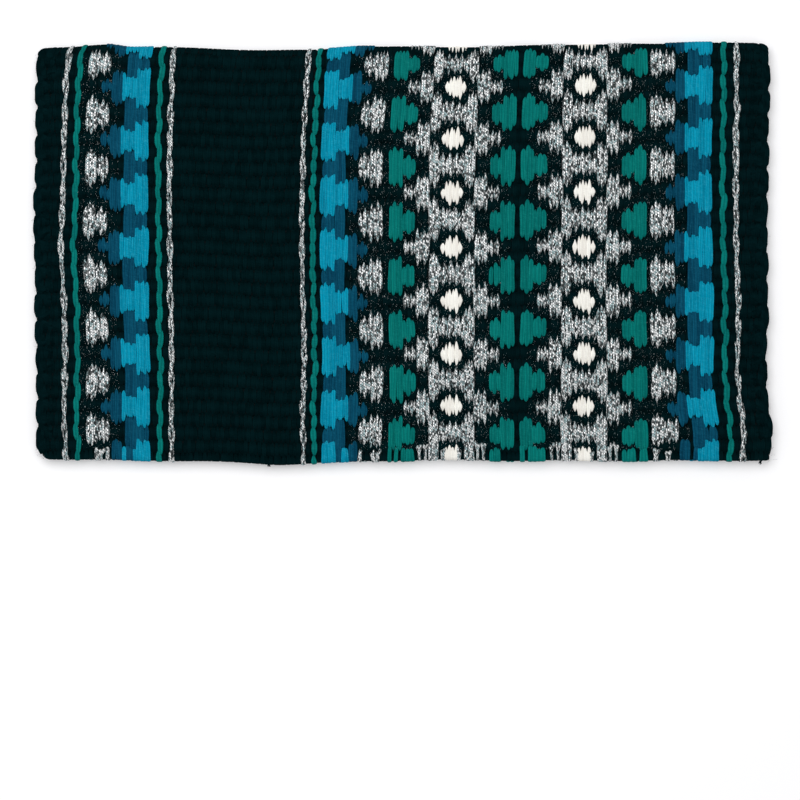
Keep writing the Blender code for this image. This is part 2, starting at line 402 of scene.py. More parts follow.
def linear(colour: Colour, factor: float = 1.0) -> tuple[float, float, float, float]:
    """The linear light of a colour given as on a screen, from 0 to 255, times a factor."""
    shares = np.asarray(colour) / 255.0
    light = np.where(shares <= 0.04045, shares / 12.92, ((shares + 0.055) / 1.055) ** 2.4)
    return (*(float(part) for part in np.clip(light * factor, 0.0, 1.0)), 1.0)


# Finishes


@dataclass(frozen=True)
class YarnNoise:
    """Noise on a yarn: its scales round the yarn, along it and from yarn to yarn."""

    turn_scale: float
    run_scale: float
    own_scale: float
    detail: float

    def read(self, board: Board, turn: Value, run: Value, own: Value) -> Value:
        """The noise at a turn about the yarn, a length along it and the yarn's own number."""
        place = board.join(turn * self.turn_scale, run * self.run_scale, own * self.own_scale)
        return board.noise(place, 1.0, self.detail)


@dataclass(frozen=True)
class WoolFinish:
    """Spun wool: plies that twist round each other, with loose fibres along them.

    light_weights are for the streaks, the fibres, the slow noise and the yarn's own number;
    loose_weights for the first two; bump_weights for the plies and the first two.
    """

    name: str
    colour: Colour
    deep: Colour
    # pale: the paler colour of painted sheen on loose fibres; edge_share: how much of it sits at
    # the yarn's sides.
    pale: Colour
    roughness: float = 0.9
    gloss: float = 0.03
    twist_pitch: float = 0.0052
    edge_share: float = 0.30
    # groove: how strongly painted shade darkens the crease between the two plies.
    groove: float = 0.32
    # crown: how much painted light and shade follows the ribs, lightest on each crest.
    crown: float = 0.0
    crown_pitch: float = 0.0158
    crown_start: float = 0.12
    streaks: YarnNoise = YarnNoise(26.0, 95.0, 37.0, 3.0)
    fibres: YarnNoise = YarnNoise(9.0, 440.0, 53.0, 2.0)
    slow: YarnNoise = YarnNoise(11.0, 38.0, 5.0, 1.0)
    light_weights: tuple[float, ...] = (0.28, 0.36, 0.16, 0.20)
    light_range: tuple[float, float] = (0.34, 0.64)
    loose_weights: tuple[float, float] = (0.45, 0.55)
    loose_range: tuple[float, float] = (0.50, 0.70)
    loose_share: float = 0.55
    groove_turn: float = 0.25
    groove_wander: float = 0.10
    groove_range: tuple[float, float] = (0.015, 0.075)
    groove_dark: float = 0.25
    fibre_gloss: float = 0.12
    bump_weights: tuple[float, ...] = (0.25, 0.85, 0.35)
    bump_groove: float = 0.8
    bump_strength: float = 0.6
    bump_depth: float = 0.0007

    def make(self) -> bpy.types.Material:
        """Builds the material.

        The sides of a yarn, at a turn of 0 and of one half, get more painted sheen than its top:
        loose fibres there are painted paler.
        Painted shade darkens a groove along the top, at a turn of one quarter, where its two plies
        part. Where crown is set, the yarn is painted lighter once for every rib that it
        crosses, half a grain from its start, and darker between: painted light and shade of the
        ribs.

        Returns:
            A material that reads the yarn map and the shade attribute.
        """
        board = Board(self.name)
        turn, run, own = board.yarn_coordinates()
        twist = run / self.twist_pitch + turn
        ply = (twist * 2.0).swell()
        streaks = self.streaks.read(board, turn, run, own)
        fibres = self.fibres.read(board, twist, run, own)
        slow = self.slow.read(board, own, run, own)
        light = weighted(self.light_weights, (streaks, fibres, slow, own)).ramp(*self.light_range)
        # Painted light and shade of the ribs: lighter where the yarn crosses a crest, darker
        # between.
        if self.crown:
            crest = ((run - own * RUN_OFFSET) / self.crown_pitch - self.crown_start).swell()
            light = (1.0 - self.crown) * light + self.crown * crest
        base = board.mix(light, linear(self.deep), linear(self.colour))
        side = 1.0 - (turn * 2.0).swell()
        loose = weighted(self.loose_weights, (streaks, fibres)).ramp(*self.loose_range)
        # Painted sheen: loose fibres are painted paler, most at the yarn's sides.
        painted_sheen = loose * (1.0 - self.edge_share) * self.loose_share
        painted_sheen = painted_sheen + side * side * loose * self.edge_share
        with_painted_sheen = board.mix(painted_sheen, base, linear(self.pale))
        wander = turn + self.groove_wander * (slow - 0.5)
        groove = 1.0 - (wander - self.groove_turn).absolute().ramp(*self.groove_range)
        height = weighted(self.bump_weights, (ply, streaks, fibres)) - groove * self.bump_groove
        # Painted shade: the crease between the plies is painted towards a quarter of the deep
        # colour.
        dark = linear(self.deep, self.groove_dark)
        board.dress(
            {
                "Base Color": board.mix(groove * self.groove, with_painted_sheen, dark),
                "Roughness": self.roughness - self.fibre_gloss * fibres,
                "Specular IOR Level": self.gloss,
                "Normal": board.bump(height, self.bump_strength, self.bump_depth),
            }
        )
        return board.material


@dataclass(frozen=True)
class LurexFinish:
    """Metallic yarn: a narrow foil strip wound round a grey core, with its flashing facets painted
    into its colour as painted glints.

    sways are how far the noise moves a facet round and along, leans how far the yarn's own
    number turns it and how far each row of facets starts past the one before.
    """

    name: str
    core: Colour = (16, 26, 28)
    foil: Colour = (176, 204, 208)
    flash: Colour = (255, 255, 255)
    facet_length: float = 0.0031
    facets_round: float = 8.0
    sway: YarnNoise = YarnNoise(3.0, 260.0, 29.0, 2.0)
    sways: tuple[float, float] = (0.5, 0.8)
    leans: tuple[float, float] = (7.0, 0.37)
    own_cells: float = 91.0
    bowl_range: tuple[float, float] = (0.02, 0.24)
    bright_range: tuple[float, float] = (0.26, 0.38)
    bright_rim: float = 0.18
    flash_range: tuple[float, float] = (0.49, 0.54)
    flash_rim: float = 0.10
    metal: tuple[float, float] = (0.25, 0.20)
    roughness: tuple[float, float] = (0.55, 0.22)
    gloss: float = 0.4
    bump_weights: tuple[float, ...] = (0.7, 0.6, 0.2)
    bump_strength: float = 0.7
    bump_depth: float = 0.0006

    def make(self) -> bpy.types.Material:
        """Builds the material.

        Each facet is one cell of a grid that leans round the yarn. It has its own tilt and its own
        painted brightness, a painted reflection of the foil, and darkens to its rim, where the
        dark core shows.
        The brightest facets are painted white, as painted glints.

        Returns:
            A material whose facets each have their own painted brightness and lean.
        """
        board = Board(self.name)
        turn, run, own = board.yarn_coordinates()
        sway = self.sway.read(board, turn, run, own)
        side = turn * self.facets_round + sway * self.sways[0] + own * self.leans[0]
        step = run / self.facet_length + sway * self.sways[1] + side.floor() * self.leans[1]
        cell = board.join(step.floor(), side.floor(), own * self.own_cells)
        spread = board.node("ShaderNodeTexWhiteNoise", {"noise_dimensions": "3D"}, {0: cell})
        facet = Value(board, spread.outputs["Value"])
        bowl = (step.swell() * side.swell()).ramp(*self.bowl_range)
        # Painted reflection: each facet's brightness is painted at random; painted glint: the
        # brightest turn white.
        bright = facet.ramp(*self.bright_range) * bowl.above(self.bright_rim)
        flash = facet.ramp(*self.flash_range) * bowl.above(self.flash_rim)
        plain = board.mix(bright, linear(self.core), linear(self.foil))
        height = weighted(self.bump_weights, (bowl, facet, sway))
        board.dress(
            {
                "Base Color": board.mix(flash, plain, linear(self.flash)),
                "Metallic": self.metal[0] + self.metal[1] * flash,
                "Roughness": self.roughness[0] - self.roughness[1] * facet,
                "Specular IOR Level": self.gloss,
                "Normal": board.bump(height, self.bump_strength, self.bump_depth),
            }
        )
        return board.material


@dataclass(frozen=True)
class GroundFinish:
    """Matted black wool under the yarns, where the warp sinks between the ribs, painted darker
    than the black yarn as painted shade in the gaps.
    """

    name: str
    # Darker than the black yarn's own colour: painted shade where the ground shows between grains.
    colour: Colour = (3, 14, 16)
    deep: Colour = (1, 6, 8)
    scales: tuple[float, float] = (1900.0, 160.0)
    details: tuple[float, float] = (3.0, 2.0)
    light_range: tuple[float, float] = (0.3, 0.7)
    roughness: tuple[float, float] = (0.96, 0.08)
    gloss: float = 0.1
    bump_weights: tuple[float, float] = (0.6, 0.4)
    bump_strength: float = 0.6
    bump_depth: float = 0.0008

    def make(self) -> bpy.types.Material:
        """Builds the material from a fine and a broad noise on Object coordinates."""
        board = Board(self.name)
        place = board.node("ShaderNodeTexCoord", {}, {}).outputs["Object"]
        noises = [board.noise(place, *pair) for pair in zip(self.scales, self.details)]
        light = weighted((0.5, 0.5), noises).ramp(*self.light_range)
        height = weighted(self.bump_weights, noises)
        board.dress(
            {
                "Base Color": board.mix(light, linear(self.deep), linear(self.colour)),
                "Roughness": self.roughness[0] - self.roughness[1] * noises[0],
                "Specular IOR Level": self.gloss,
                "Normal": board.bump(height, self.bump_strength, self.bump_depth),
            }
        )
        return board.material


FINISHES: dict[Yarn, WoolFinish | LurexFinish] = {
    # The black yarn has painted light and shade of the ribs (crown).
    Yarn.BLACK: WoolFinish(
        "black_wool_yarn", (4, 27, 30), (1, 14, 16), (9, 32, 35),
        roughness=0.97, gloss=0.0, twist_pitch=0.0046, edge_share=0.1, groove=0.1, crown=0.40,
    ),
    Yarn.TURQUOISE: WoolFinish(
        "turquoise_wool_yarn", (4, 152, 184), (2, 130, 160), (76, 184, 208)
    ),
    Yarn.PETROL: WoolFinish("petrol_wool_yarn", (8, 80, 106), (4, 60, 84), (36, 104, 128)),
    Yarn.TEAL: WoolFinish("teal_wool_yarn", (4, 122, 116), (2, 102, 98), (40, 144, 136)),
    Yarn.SILVER: LurexFinish("silver_metallic_yarn"),
    Yarn.CREAM: WoolFinish(
        "cream_wool_yarn", (255, 254, 247), (238, 234, 226), (255, 255, 252), groove=0.10
    ),
}


class Wardrobe:
    """The finished materials, each made once."""

    def __init__(self) -> None:
        """Makes one material for each yarn and one for the ground."""
        self.yarns = {yarn: finish.make() for yarn, finish in FINISHES.items()}
        self.ground = GroundFinish("black_wool_ground").make()


# Meshes


def rows_of(width: int, *parts: Array) -> Array:
    """Rows of the given width, filled in turn from arrays that broadcast to one shape."""
    return np.stack(np.broadcast_arrays(*parts), -1).reshape(-1, width)


@dataclass
class Skin:
    """The points and faces of a mesh; those of yarns also have a yarn map and a shade.

    quads and triangles are rows of point numbers. The maps hold one row for each corner of
    each face, shade one number for each point.
    """

    points: Array
    quads: Array
    triangles: Array = field(default_factory=lambda: np.zeros((0, 3), dtype=int))
    quad_map: Array | None = None
    triangle_map: Array | None = None
    shade: Array | None = None

    @classmethod
    def joined(cls, skins: list[Skin]) -> Skin:
        """Joins the skins of several sets of yarns in one."""
        offsets = np.cumsum([0] + [len(one.points) for one in skins[:-1]])
        points, quad_map, triangle_map, shade = (
            np.concatenate([getattr(one, part) for one in skins])
            for part in ("points", "quad_map", "triangle_map", "shade")
        )
        quads, triangles = (
            np.concatenate([getattr(one, part) + off for one, off in zip(skins, offsets)])
            for part in ("quads", "triangles")
        )
        return cls(points, quads, triangles, quad_map, triangle_map, shade)

    def piece(self, name: str) -> bpy.types.Object:
        """Makes one smooth mesh object of this name at the origin."""
        quads, triangles = self.quads, self.triangles
        corners = np.concatenate([quads.ravel(), triangles.ravel()]).astype(np.int32)
        counts = np.concatenate([np.full(len(quads), 4), np.full(len(triangles), 3)])
        starts = np.concatenate([[0], np.cumsum(counts)[:-1]]).astype(np.int32)
        mesh = bpy.data.meshes.new(name)
        mesh.vertices.add(len(self.points))
        mesh.vertices.foreach_set("co", self.points.astype(np.float32).ravel())
        mesh.loops.add(len(corners))
        mesh.loops.foreach_set("vertex_index", corners)
        mesh.polygons.add(len(counts))
        mesh.polygons.foreach_set("loop_start", starts)
        mesh.polygons.foreach_set("use_smooth", np.ones(len(counts), dtype=bool))
        if self.shade is not None:
            layer = mesh.uv_layers.new(name="yarn")
            both = np.concatenate([self.quad_map, self.triangle_map])
            layer.data.foreach_set("uv", both.astype(np.float32).ravel())
            attribute = mesh.attributes.new("shade", "FLOAT", "POINT")
            attribute.data.foreach_set("value", self.shade.astype(np.float32))
        mesh.update(calc_edges=True)
        mesh.validate()
        piece = bpy.data.objects.new(name, mesh)
        bpy.context.scene.collection.objects.link(piece)
        return piece


@dataclass
class Tubes:
    """Yarns of one ring count: closed tubes with an elliptical section and a pole at each end.

    centre holds the middle line of each yarn (yarn, ring, 3), wide and high its half width and
    half height at each ring, side the direction of its width, and shade a random number each.
    """

    centre: Array
    wide: Array
    high: Array
    side: Array
    shade: Array
    around: int = 6

    def skin(self) -> Skin:
        """Works out the rings: middle + side * wide * cos(angle) + up * high * sin(angle).

        up is at right angles to the yarn's run and to side, so the faces point outwards.

        Returns:
            The skin of all the yarns.
        """
        count, rings, _ = self.centre.shape
        around = self.around
        run = np.gradient(self.centre, axis=1)
        side = np.broadcast_to(self.side, self.centre.shape)
        up = np.cross(run, side)
        up /= np.maximum(np.linalg.norm(up, axis=2, keepdims=True), 1e-12)
        here = np.arange(around)
        there = (here + 1) % around
        angle = here * math.tau / around
        ring = (
            self.centre[:, :, None, :]
            + (side * self.wide[..., None])[:, :, None, :] * np.cos(angle)[None, None, :, None]
            + (up * self.high[..., None])[:, :, None, :] * np.sin(angle)[None, None, :, None]
        )
        poles = self.centre[:, [0, -1], :]
        points = np.concatenate([ring.reshape(count, -1, 3), poles], axis=1).reshape(-1, 3)

        size = rings * around
        base = np.arange(count)[:, None] * (size + 2)
        near = base[:, :, None] + np.arange(rings - 1)[None, :, None] * around
        far, last, pole = near + around, base + size - around, base + size
        quads = rows_of(4, near + here, near + there, far + there, far + here)
        starts = rows_of(3, pole, base + there, base + here)
        stops = rows_of(3, pole + 1, last + here, last + there)

        length = np.linalg.norm(np.diff(self.centre, axis=1), axis=2)
        length = np.concatenate([np.zeros((count, 1)), np.cumsum(length, axis=1)], axis=1)
        length = length + self.shade[:, None] * RUN_OFFSET
        left, right = here / around, (here + 1) / around
        middle = (left + right) / 2
        low, high = length[:, :-1, None], length[:, 1:, None]
        quad_map = rows_of(2, left, low, right, low, right, high, left, high)
        begin, finish = length[:, :1], length[:, -1:]
        triangle_map = np.concatenate(
            [
                rows_of(2, middle, begin, right, begin, left, begin),
                rows_of(2, middle, finish, left, finish, right, finish),
            ]
        )
        shade = np.repeat(self.shade, size + 2)
        return Skin(points, quads, np.concatenate([starts, stops]), quad_map, triangle_map, shade)


# Lay of the cloth


def smooth_step(value: Array) -> Array:
    """0 below 0, 1 above 1, and 3 t^2 - 2 t^3 between."""
    share = np.clip(value, 0.0, 1.0)
    return share * share * (3.0 - 2.0 * share)


def unit(run: Array) -> Array:
    """Vectors of length 1 in the same directions."""
    return run / np.maximum(np.linalg.norm(run, axis=-1, keepdims=True), 1e-9)


@dataclass(frozen=True)
class Pull:
    """A part of the cloth that lies off its place, as if pulled.

    It sets in past a place across and past a place along, each given with the distance over
    which it does so; a distance below zero counts the other way. One that peaks is strongest at
    its place along and fades to both sides.
    """

    size: float
    along: tuple[float, float]
    across: tuple[float, float]
    peaks: bool = False

    def at(self, x: Array, y: Array) -> Array:
        """The shift: size times exp(-t^2) or the smooth step of t along, times that across."""
        place, reach = self.along
        t = (y - place) / reach
        strength = self.size * (np.exp(-(t**2)) if self.peaks else smooth_step(t))
        place, reach = self.across
        return strength * smooth_step((x - place) / reach)


@dataclass(frozen=True)
class Bend:
    """How the soft cloth lies off its true rectangle: rounded corners, leaning and wavy edges."""

    width: float
    back: float
    front: float
    corners: tuple[tuple[float, float], ...] = ((0.0105, 0.0100), (0.0105, 0.0030))
    pull: float = 0.045
    lean_places: tuple[float, ...] = (-0.434, -0.406, -0.28, -0.10, 0.06, 0.22, 0.38, 0.425)
    lean_sizes: tuple[float, ...] = (0.0, 0.0082, 0.0052, 0.0080, 0.0074, 0.0045, -0.0014, 0.0)
    lean_reaches: tuple[float, ...] = (0.032, 0.032, 0.026, 0.050, 0.082, 0.090, 0.050, 0.050)
    back_places: tuple[float, ...] = (
        -0.43, -0.39, -0.374, -0.348, -0.335, -0.29, -0.26, -0.16, -0.11, -0.06, 0.03, 0.12, 0.20,
        0.30, 0.35, 0.43,
    )
    back_rises: tuple[float, ...] = (
        -0.0012, -0.0004, 0.0018, 0.0038, -0.0002, -0.0002, -0.0012, -0.0038, -0.0040, 0.0010,
        -0.0006, 0.0006, 0.0030, 0.0032, 0.0056, 0.0036,
    )
    front_places: tuple[float, ...] = (-0.43, -0.34, -0.24, -0.145, -0.11, -0.06, 0.04, 0.14, 0.43)
    front_rises: tuple[float, ...] = (
        0.0044, 0.0032, 0.0018, -0.0026, -0.0012, 0.0012, 0.0034, 0.0024, 0.0026,
    )
    right_pull: Pull = Pull(0.0050, (-0.165, -0.05), (0.27, 0.11))
    ripple: float = 0.0007
    later_pulls: tuple[Pull, ...] = (
        Pull(-0.0014, (0.02, 0.04), (-0.3, -0.06), peaks=True),
        Pull(0.0016, (0.13, 0.06), (0.412, 0.016)),
    )
    sag: Pull = Pull(0.0034, (0.12, 0.075), (-0.2, 0.2), peaks=True)
    rise_ripple: float = 0.0006
    lies: dict[float, tuple[float, ...]] = field(
        default_factory=lambda: {
            -0.430: (0.2, 0.0, 0.0, -1.2, -1.6, -0.6, 0.4, 1.4, 0.0),
            -0.395: (0.8, 0.2, -0.5, -1.4, -2.7, -0.1, 1.1, -0.4, 1.8),
            -0.335: (-0.7, 0.6, -0.4, -1.2, -1.5, -0.9, -0.1, 0.1, 1.8),
            -0.280: (-1.6, -0.5, -1.2, -2.7, -2.1, 0.1, 0.4, -0.6, 0.6),
            -0.110: (-0.5, 0.8, -1.2, -2.4, -1.5, -0.5, 0.1, -0.7, 0.7),
            -0.030: (0.9, 2.4, 0.0, -0.8, -0.4, 0.2, 0.5, 0.2, -0.1),
            0.130: (0.9, 1.4, 0.2, 0.6, 1.2, 0.6, 0.2, 0.4, 0.7),
            0.275: (-1.6, -0.4, -0.8, -0.8, 0.2, 0.2, -0.1, 0.2, 1.4),
            0.335: (0.2, 0.5, 0.2, 0.2, -0.1, 0.5, 1.5, 2.6, 3.6),
            0.390: (0.8, -0.9, -2.9, -1.7, -1.1, 0.1, 0.4, 2.9, 1.2),
            0.430: (1.8, 1.6, 0.4, 1.4, 1.2, 0.8, -0.3, 1.5, 2.0),
        }
    )

    def smooth(self, x: Array, places: tuple[float, ...], sizes: tuple[float, ...]) -> Array:
        """Reads a table at places across, softened by averaging three readings 8 mm apart."""
        return sum(np.interp(x + step, places, sizes) for step in (-0.008, 0.0, 0.008)) / 3

    def lie(self, x: Array, y: Array) -> Array:
        """Reads how far the warp lies to the side.

        Each entry of lies is a place across with shifts in millimetres, at even steps from the
        fold to the woven end. Between them the shift changes smoothly.

        Args:
            x: places across.
            y: places from front to back.

        Returns:
            The shifts across in metres.
        """
        places, table = list(self.lies), np.array(list(self.lies.values()))
        down = np.clip((self.back - y) / (self.back - self.front), 0.0, 1.0)
        row = down * (table.shape[1] - 1)
        column = np.interp(x, places, np.arange(len(places)))
        top = np.minimum(row.astype(int), table.shape[1] - 2)
        left = np.minimum(column.astype(int), len(places) - 2)
        below, beside = smooth_step(row - top), smooth_step(column - left)
        upper = table[left, top] * (1 - beside) + table[left + 1, top] * beside
        lower = table[left, top + 1] * (1 - beside) + table[left + 1, top + 1] * beside
        return 0.001 * (upper * (1 - below) + lower * below)

    def move(self, points: Array) -> Array:
        """Moves points by the bend; the shifts depend on x and y alone.

        Args:
            points: places, one row each.

        Returns:
            The moved places.
        """
        x, y = points[:, 0], points[:, 1]
        rounded = np.zeros_like(x)
        for gap, (left, right) in zip((self.back - y, y - self.front), zip(*self.corners)):
            radius = np.where(x < 0, left, right)
            inside = np.clip(radius - gap, 0.0, radius)
            rounded = np.maximum(rounded, radius - np.sqrt(radius**2 - inside**2))
        near = smooth_step((np.abs(x) - (self.width / 2 - self.pull)) / self.pull)
        shift = self.lie(x, y) - np.sign(x) * rounded * near

        lean = self.smooth(x, self.lean_places, self.lean_sizes)
        reach = self.smooth(x, self.lean_places, self.lean_reaches)
        shift += lean * np.exp(-np.clip(self.back - y, 0.0, None) / reach)
        shift += self.right_pull.at(x, y)
        shift += self.ripple * np.sin(y * 31.0 + x * 9.0) * np.cos(x * 13.0 + 0.6)
        for pull in self.later_pulls:
            shift += pull.at(x, y)
        return np.column_stack([x + shift, y + self.rise(x, y), points[:, 2]])

    def rise(self, x: Array, y: Array) -> Array:
        """How far places move towards the fold: both ends are wavy, and the middle sags."""
        down = np.clip((self.back - y) / (self.back - self.front), 0.0, 1.0)
        rise = (1 - down) * self.smooth(x, self.back_places, self.back_rises)
        rise += down * self.smooth(x, self.front_places, self.front_rises)
        rise += self.sag.at(x, y)
        return rise + self.rise_ripple * np.sin(x * 47.0 + y * 5.0)


class Cloth:
    """Where the cloth coordinates lie in the frame."""

    def __init__(self, sizes: ClothSizes) -> None:
        """Keeps the sizes and makes the bend of this cloth."""
        self.sizes = sizes
        self.bend = Bend(sizes.width, sizes.field_start + sizes.float_top, sizes.front)

    def rib_share(self, s: Array) -> Array:
        """The place within its rib, from 0 to 1; the fold is one rib about s = 0."""
        u = np.abs(s) - 0.5
        return np.where(u < 0, s + 0.5, u - np.floor(u))

    def arch(self, s: Array) -> Array:
        """The arch of a rib from 0 in the valleys to 1: (1 - |2v - 1|^2.3)^0.6."""
        v = self.rib_share(s)
        return np.clip(1.0 - np.abs(2 * v - 1) ** 2.3, 0.0, 1.0) ** 0.6

    def meet(self, x: Array) -> Array:
        """Where the inner faces of the halves meet on the axis when the cloth is laid open."""
        start = self.sizes.field_start
        return 0.5 + self.bend.rise(x, np.full_like(x, start)) / self.sizes.rib_pitch

    def lay(self, x: Array, s: Array, r: Array) -> Array:
        """Turns cloth coordinates into places.

        In the halves y falls by one pitch for every rib and z is the axis height plus or minus r;
        in the fold the point is at r from the axis, turned by pi * s, but an inner face, within
        the hollow, runs on flat under the fold; past the turn at the woven end it goes round the
        middle of the half's thickness, at r less that middle.

        Args:
            x: places across.
            s: places along, in ribs.
            r: distances from the plane between the halves.

        Returns:
            Places, with the three coordinates last.
        """
        sizes = self.sizes
        x, s, r = np.broadcast_arrays(x, s, r)
        start, middle = sizes.field_start, sizes.middle
        way = np.where(s < 0, -1.0, 1.0)
        u = np.abs(s) - 0.5
        angle = math.pi * s
        folded = (u < 0) & (r > sizes.hollow)
        y = np.where(folded, start + r * np.cos(angle), start - u * sizes.rib_pitch)
        height = np.where(folded, r * np.sin(angle), way * r)
        past = (np.abs(s) - sizes.turn) * sizes.rib_pitch / sizes.turn_radius
        edge = start - (sizes.turn - 0.5) * sizes.rib_pitch
        y = np.where(past > 0, edge - (r - middle) * np.sin(past), y)
        height = np.where(past > 0, way * (middle + (r - middle) * np.cos(past)), height)
        return np.stack([x, y, sizes.axis_z + height], axis=-1)


# Runs of yarn on the faces


@dataclass
class Runs:
    """Floats of one yarn: each lies at x, from s = start to s = stop, and may be cut in the fold.

    first and last are the true ends, where the float dives; start and stop are where this piece
    of it is cut. lean is how far it moves across in one rib along.
    """

    x: Array
    start: Array
    stop: Array
    first: Array
    last: Array
    half_width: Array
    lean: Array

    @classmethod
    def of(
        cls, x: Array, start: Array, stop: Array, half_width: float | Array, lean: object = 0.0
    ) -> Runs:
        """Makes runs that aren't cut anywhere."""
        wide = np.broadcast_to(half_width, x.shape).astype(float)
        slope = np.broadcast_to(lean, x.shape).astype(float)
        return cls(x, start, stop, start.copy(), stop.copy(), wide, slope)

    def pick(self, mask: Array) -> Runs:
        """The runs for which the mask is true."""
        return Runs(*(part[mask] for part in self.parts()))

    def parts(self) -> tuple[Array, ...]:
        """The arrays of these runs."""
        return (
            self.x, self.start, self.stop, self.first, self.last, self.half_width, self.lean
        )

    def plus(self, other: Runs) -> Runs:
        """These runs and the other ones."""
        return Runs(*(np.concatenate(both) for both in zip(self.parts(), other.parts())))

    def within(self, section: Section, limit: float) -> Runs:
        """The runs of one section: those that enter the fold are cut at its middle.

        Args:
            section: the stretch of the cloth.
            limit: the place along where runs are cut at both ends of the cloth.

        Returns:
            Runs that end at the limit or, in the fold, at s = 0.
        """
        kept = self.cut(-limit, limit, SHORTEST)
        if section is Section.UPPER:
            return kept.pick(kept.start >= 0.5)
        if section is Section.LOWER:
            return kept.pick(kept.stop <= -0.5)
        crossing = kept.pick((kept.start < 0.5) & (kept.stop > -0.5))
        if section is Section.FOLD_UPPER:
            return crossing.cut(0.0, limit, SHORTEST_FOLD)
        return crossing.cut(-limit, 0.0, SHORTEST_FOLD)

    def inside(self, section: Section, limit: float, meet: Array) -> Runs:
        """The runs on the inner face of one half, cut where it meets the other half.

        Args:
            section: the half.
            limit: the place along where runs are cut at the woven end.
            meet: how far from the fold's middle each run meets the other half, in ribs.

        Returns:
            Runs that end at the meeting place or at the limit.
        """
        low, high = (meet, limit) if section.way > 0 else (-limit, -meet)
        return self.cut(low, high, SHORTEST_INNER)

    def cut(self, low: float | Array, high: float | Array, shortest: float) -> Runs:
        """Cuts the runs at two places along and keeps those that stay longer than the shortest."""
        start, stop = np.clip(self.start, low, high), np.clip(self.stop, low, high)
        kept = Runs(self.x, start, stop, self.first, self.last, self.half_width, self.lean)
        return kept.pick(stop - start > shortest)


@dataclass(frozen=True)
class FloatShape:
    """The shape of one kind of float: how it tapers, dives and rounds.

    The taper is in ribs. The width falls to the tip's share as the distance from the end to the
    power point, so that 1 makes a straight point and a small number a blunt end.
    """

    rings: int
    around: int
    taper: float
    tip: float
    half_height: float
    dive: float
    point: float = 0.5


class Weaver:
    """Turns runs of yarn into tubes on the cloth, and tubes into dressed pieces.

    sway_spread and sway_wave are how far a float lies aside at random and in a wave, in metres.
    """

    seed = 20771
    even_share = 0.35
    sway_spread = 0.00022
    sway_wave = 0.00035
    flat_share = 0.35
    dive_power = 1.6

    def __init__(self, cloth: Cloth, wardrobe: Wardrobe) -> None:
        """Keeps the cloth, the materials and one seeded source of chance."""
        self.cloth = cloth
        self.sizes = cloth.sizes
        self.wardrobe = wardrobe
        self.chance = np.random.default_rng(self.seed)

    def stations(self, runs: Runs, rings: int) -> Array:
        """Places along each run, closer together at both ends: (1 - cos(pi t)) / 2."""
        t = np.arange(rings) / (rings - 1)
        t = self.even_share * t + (1 - self.even_share) * (1 - np.cos(math.pi * t)) / 2
        return runs.start[:, None] + (runs.stop - runs.start)[:, None] * t[None, :]

    def tubes(self, runs: Runs, face: Face, shape: FloatShape, level: float, dip: float) -> Tubes:
        """Lays runs on a face.

        The top of a float is at level, lower by dip in each valley between ribs, and it dives
        by the shape's dive over the taper at both of its true ends, where it also narrows.

        Args:
            runs: the floats.
            face: the face of the cloth that they lie on.
            shape: how they taper and round.
            level: distance of their tops from the plane between the halves.
            dip: how much lower they are in the valleys.

        Returns:
            The tubes.
        """
        s = self.stations(runs, shape.rings)
        gap = np.minimum(s - runs.first[:, None], runs.last[:, None] - s)
        room = np.minimum(shape.taper, 0.5 * (runs.last - runs.first))[:, None]
        near = np.clip(gap / room, 0.0, 1.0)
        full = np.sqrt(1.0 - (1.0 - near) ** 2)
        thin = shape.tip + (1 - shape.tip) * near**shape.point
        out = face.value
        high = shape.half_height * (self.flat_share + (1 - self.flat_share) * full)
        dive = shape.dive * (1.0 - near) ** self.dive_power
        top = level - out * (dip * (1.0 - self.cloth.arch(s)) + dive)
        count, place = len(runs.x), runs.x[:, None]
        sway = self.chance.normal(0.0, self.sway_spread, (count, 1))
        sway = sway + self.sway_wave * np.sin(s * 1.9 + place * 800.0)
        x = place + runs.lean[:, None] * (s - 0.5 * (runs.first + runs.last)[:, None])
        centre = self.cloth.lay(x + sway, s, top - out * high)
        shade = self.chance.random(count)
        wide = runs.half_width[:, None] * thin
        return Tubes(centre, wide, high, out * ACROSS, shade, shape.around)

    def finish(
        self,
        name: str,
        parts: Iterable[Tubes],
        yarn: Yarn,
        section: Section,
        nodes: Iterable[str] = (),
    ) -> None:
        """Builds one piece of yarn from sets of tubes, unless there are none.

        Args:
            name: the piece's name.
            parts: its tubes.
            yarn: its yarn.
            section: the stretch of the cloth that it belongs to.
            nodes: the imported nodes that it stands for.
        """
        kept = [part for part in parts if len(part.centre)]
        if kept:
            skin = Skin.joined([part.skin() for part in kept])
            self.piece(name, skin, self.wardrobe.yarns[yarn], yarn, section, nodes)

    def piece(
        self,
        name: str,
        skin: Skin,
        material: bpy.types.Material,
        yarn: Yarn,
        section: Section,
        nodes: Iterable[str] = (),
    ) -> bpy.types.Object:
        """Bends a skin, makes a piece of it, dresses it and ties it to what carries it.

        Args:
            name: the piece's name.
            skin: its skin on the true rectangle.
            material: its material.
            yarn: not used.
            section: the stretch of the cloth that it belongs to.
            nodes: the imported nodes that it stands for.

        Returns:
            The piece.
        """
        skin.points = self.cloth.bend.move(skin.points)
        piece = skin.piece(name)
        piece.data.materials.append(material)
        self.tie(piece, section)
        for node in nodes:
            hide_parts(node)
        log.info("%s: %d points, %s", name, len(skin.points), section.body or "in the fold")
        return piece

    def tie(self, piece: bpy.types.Object, section: Section) -> None:
        """Rides a piece on its half; a piece of the fold gets its place baked into its mesh.
        """
        if section.body:
            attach(piece, section.body)
            return
        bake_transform(piece)


# Pattern


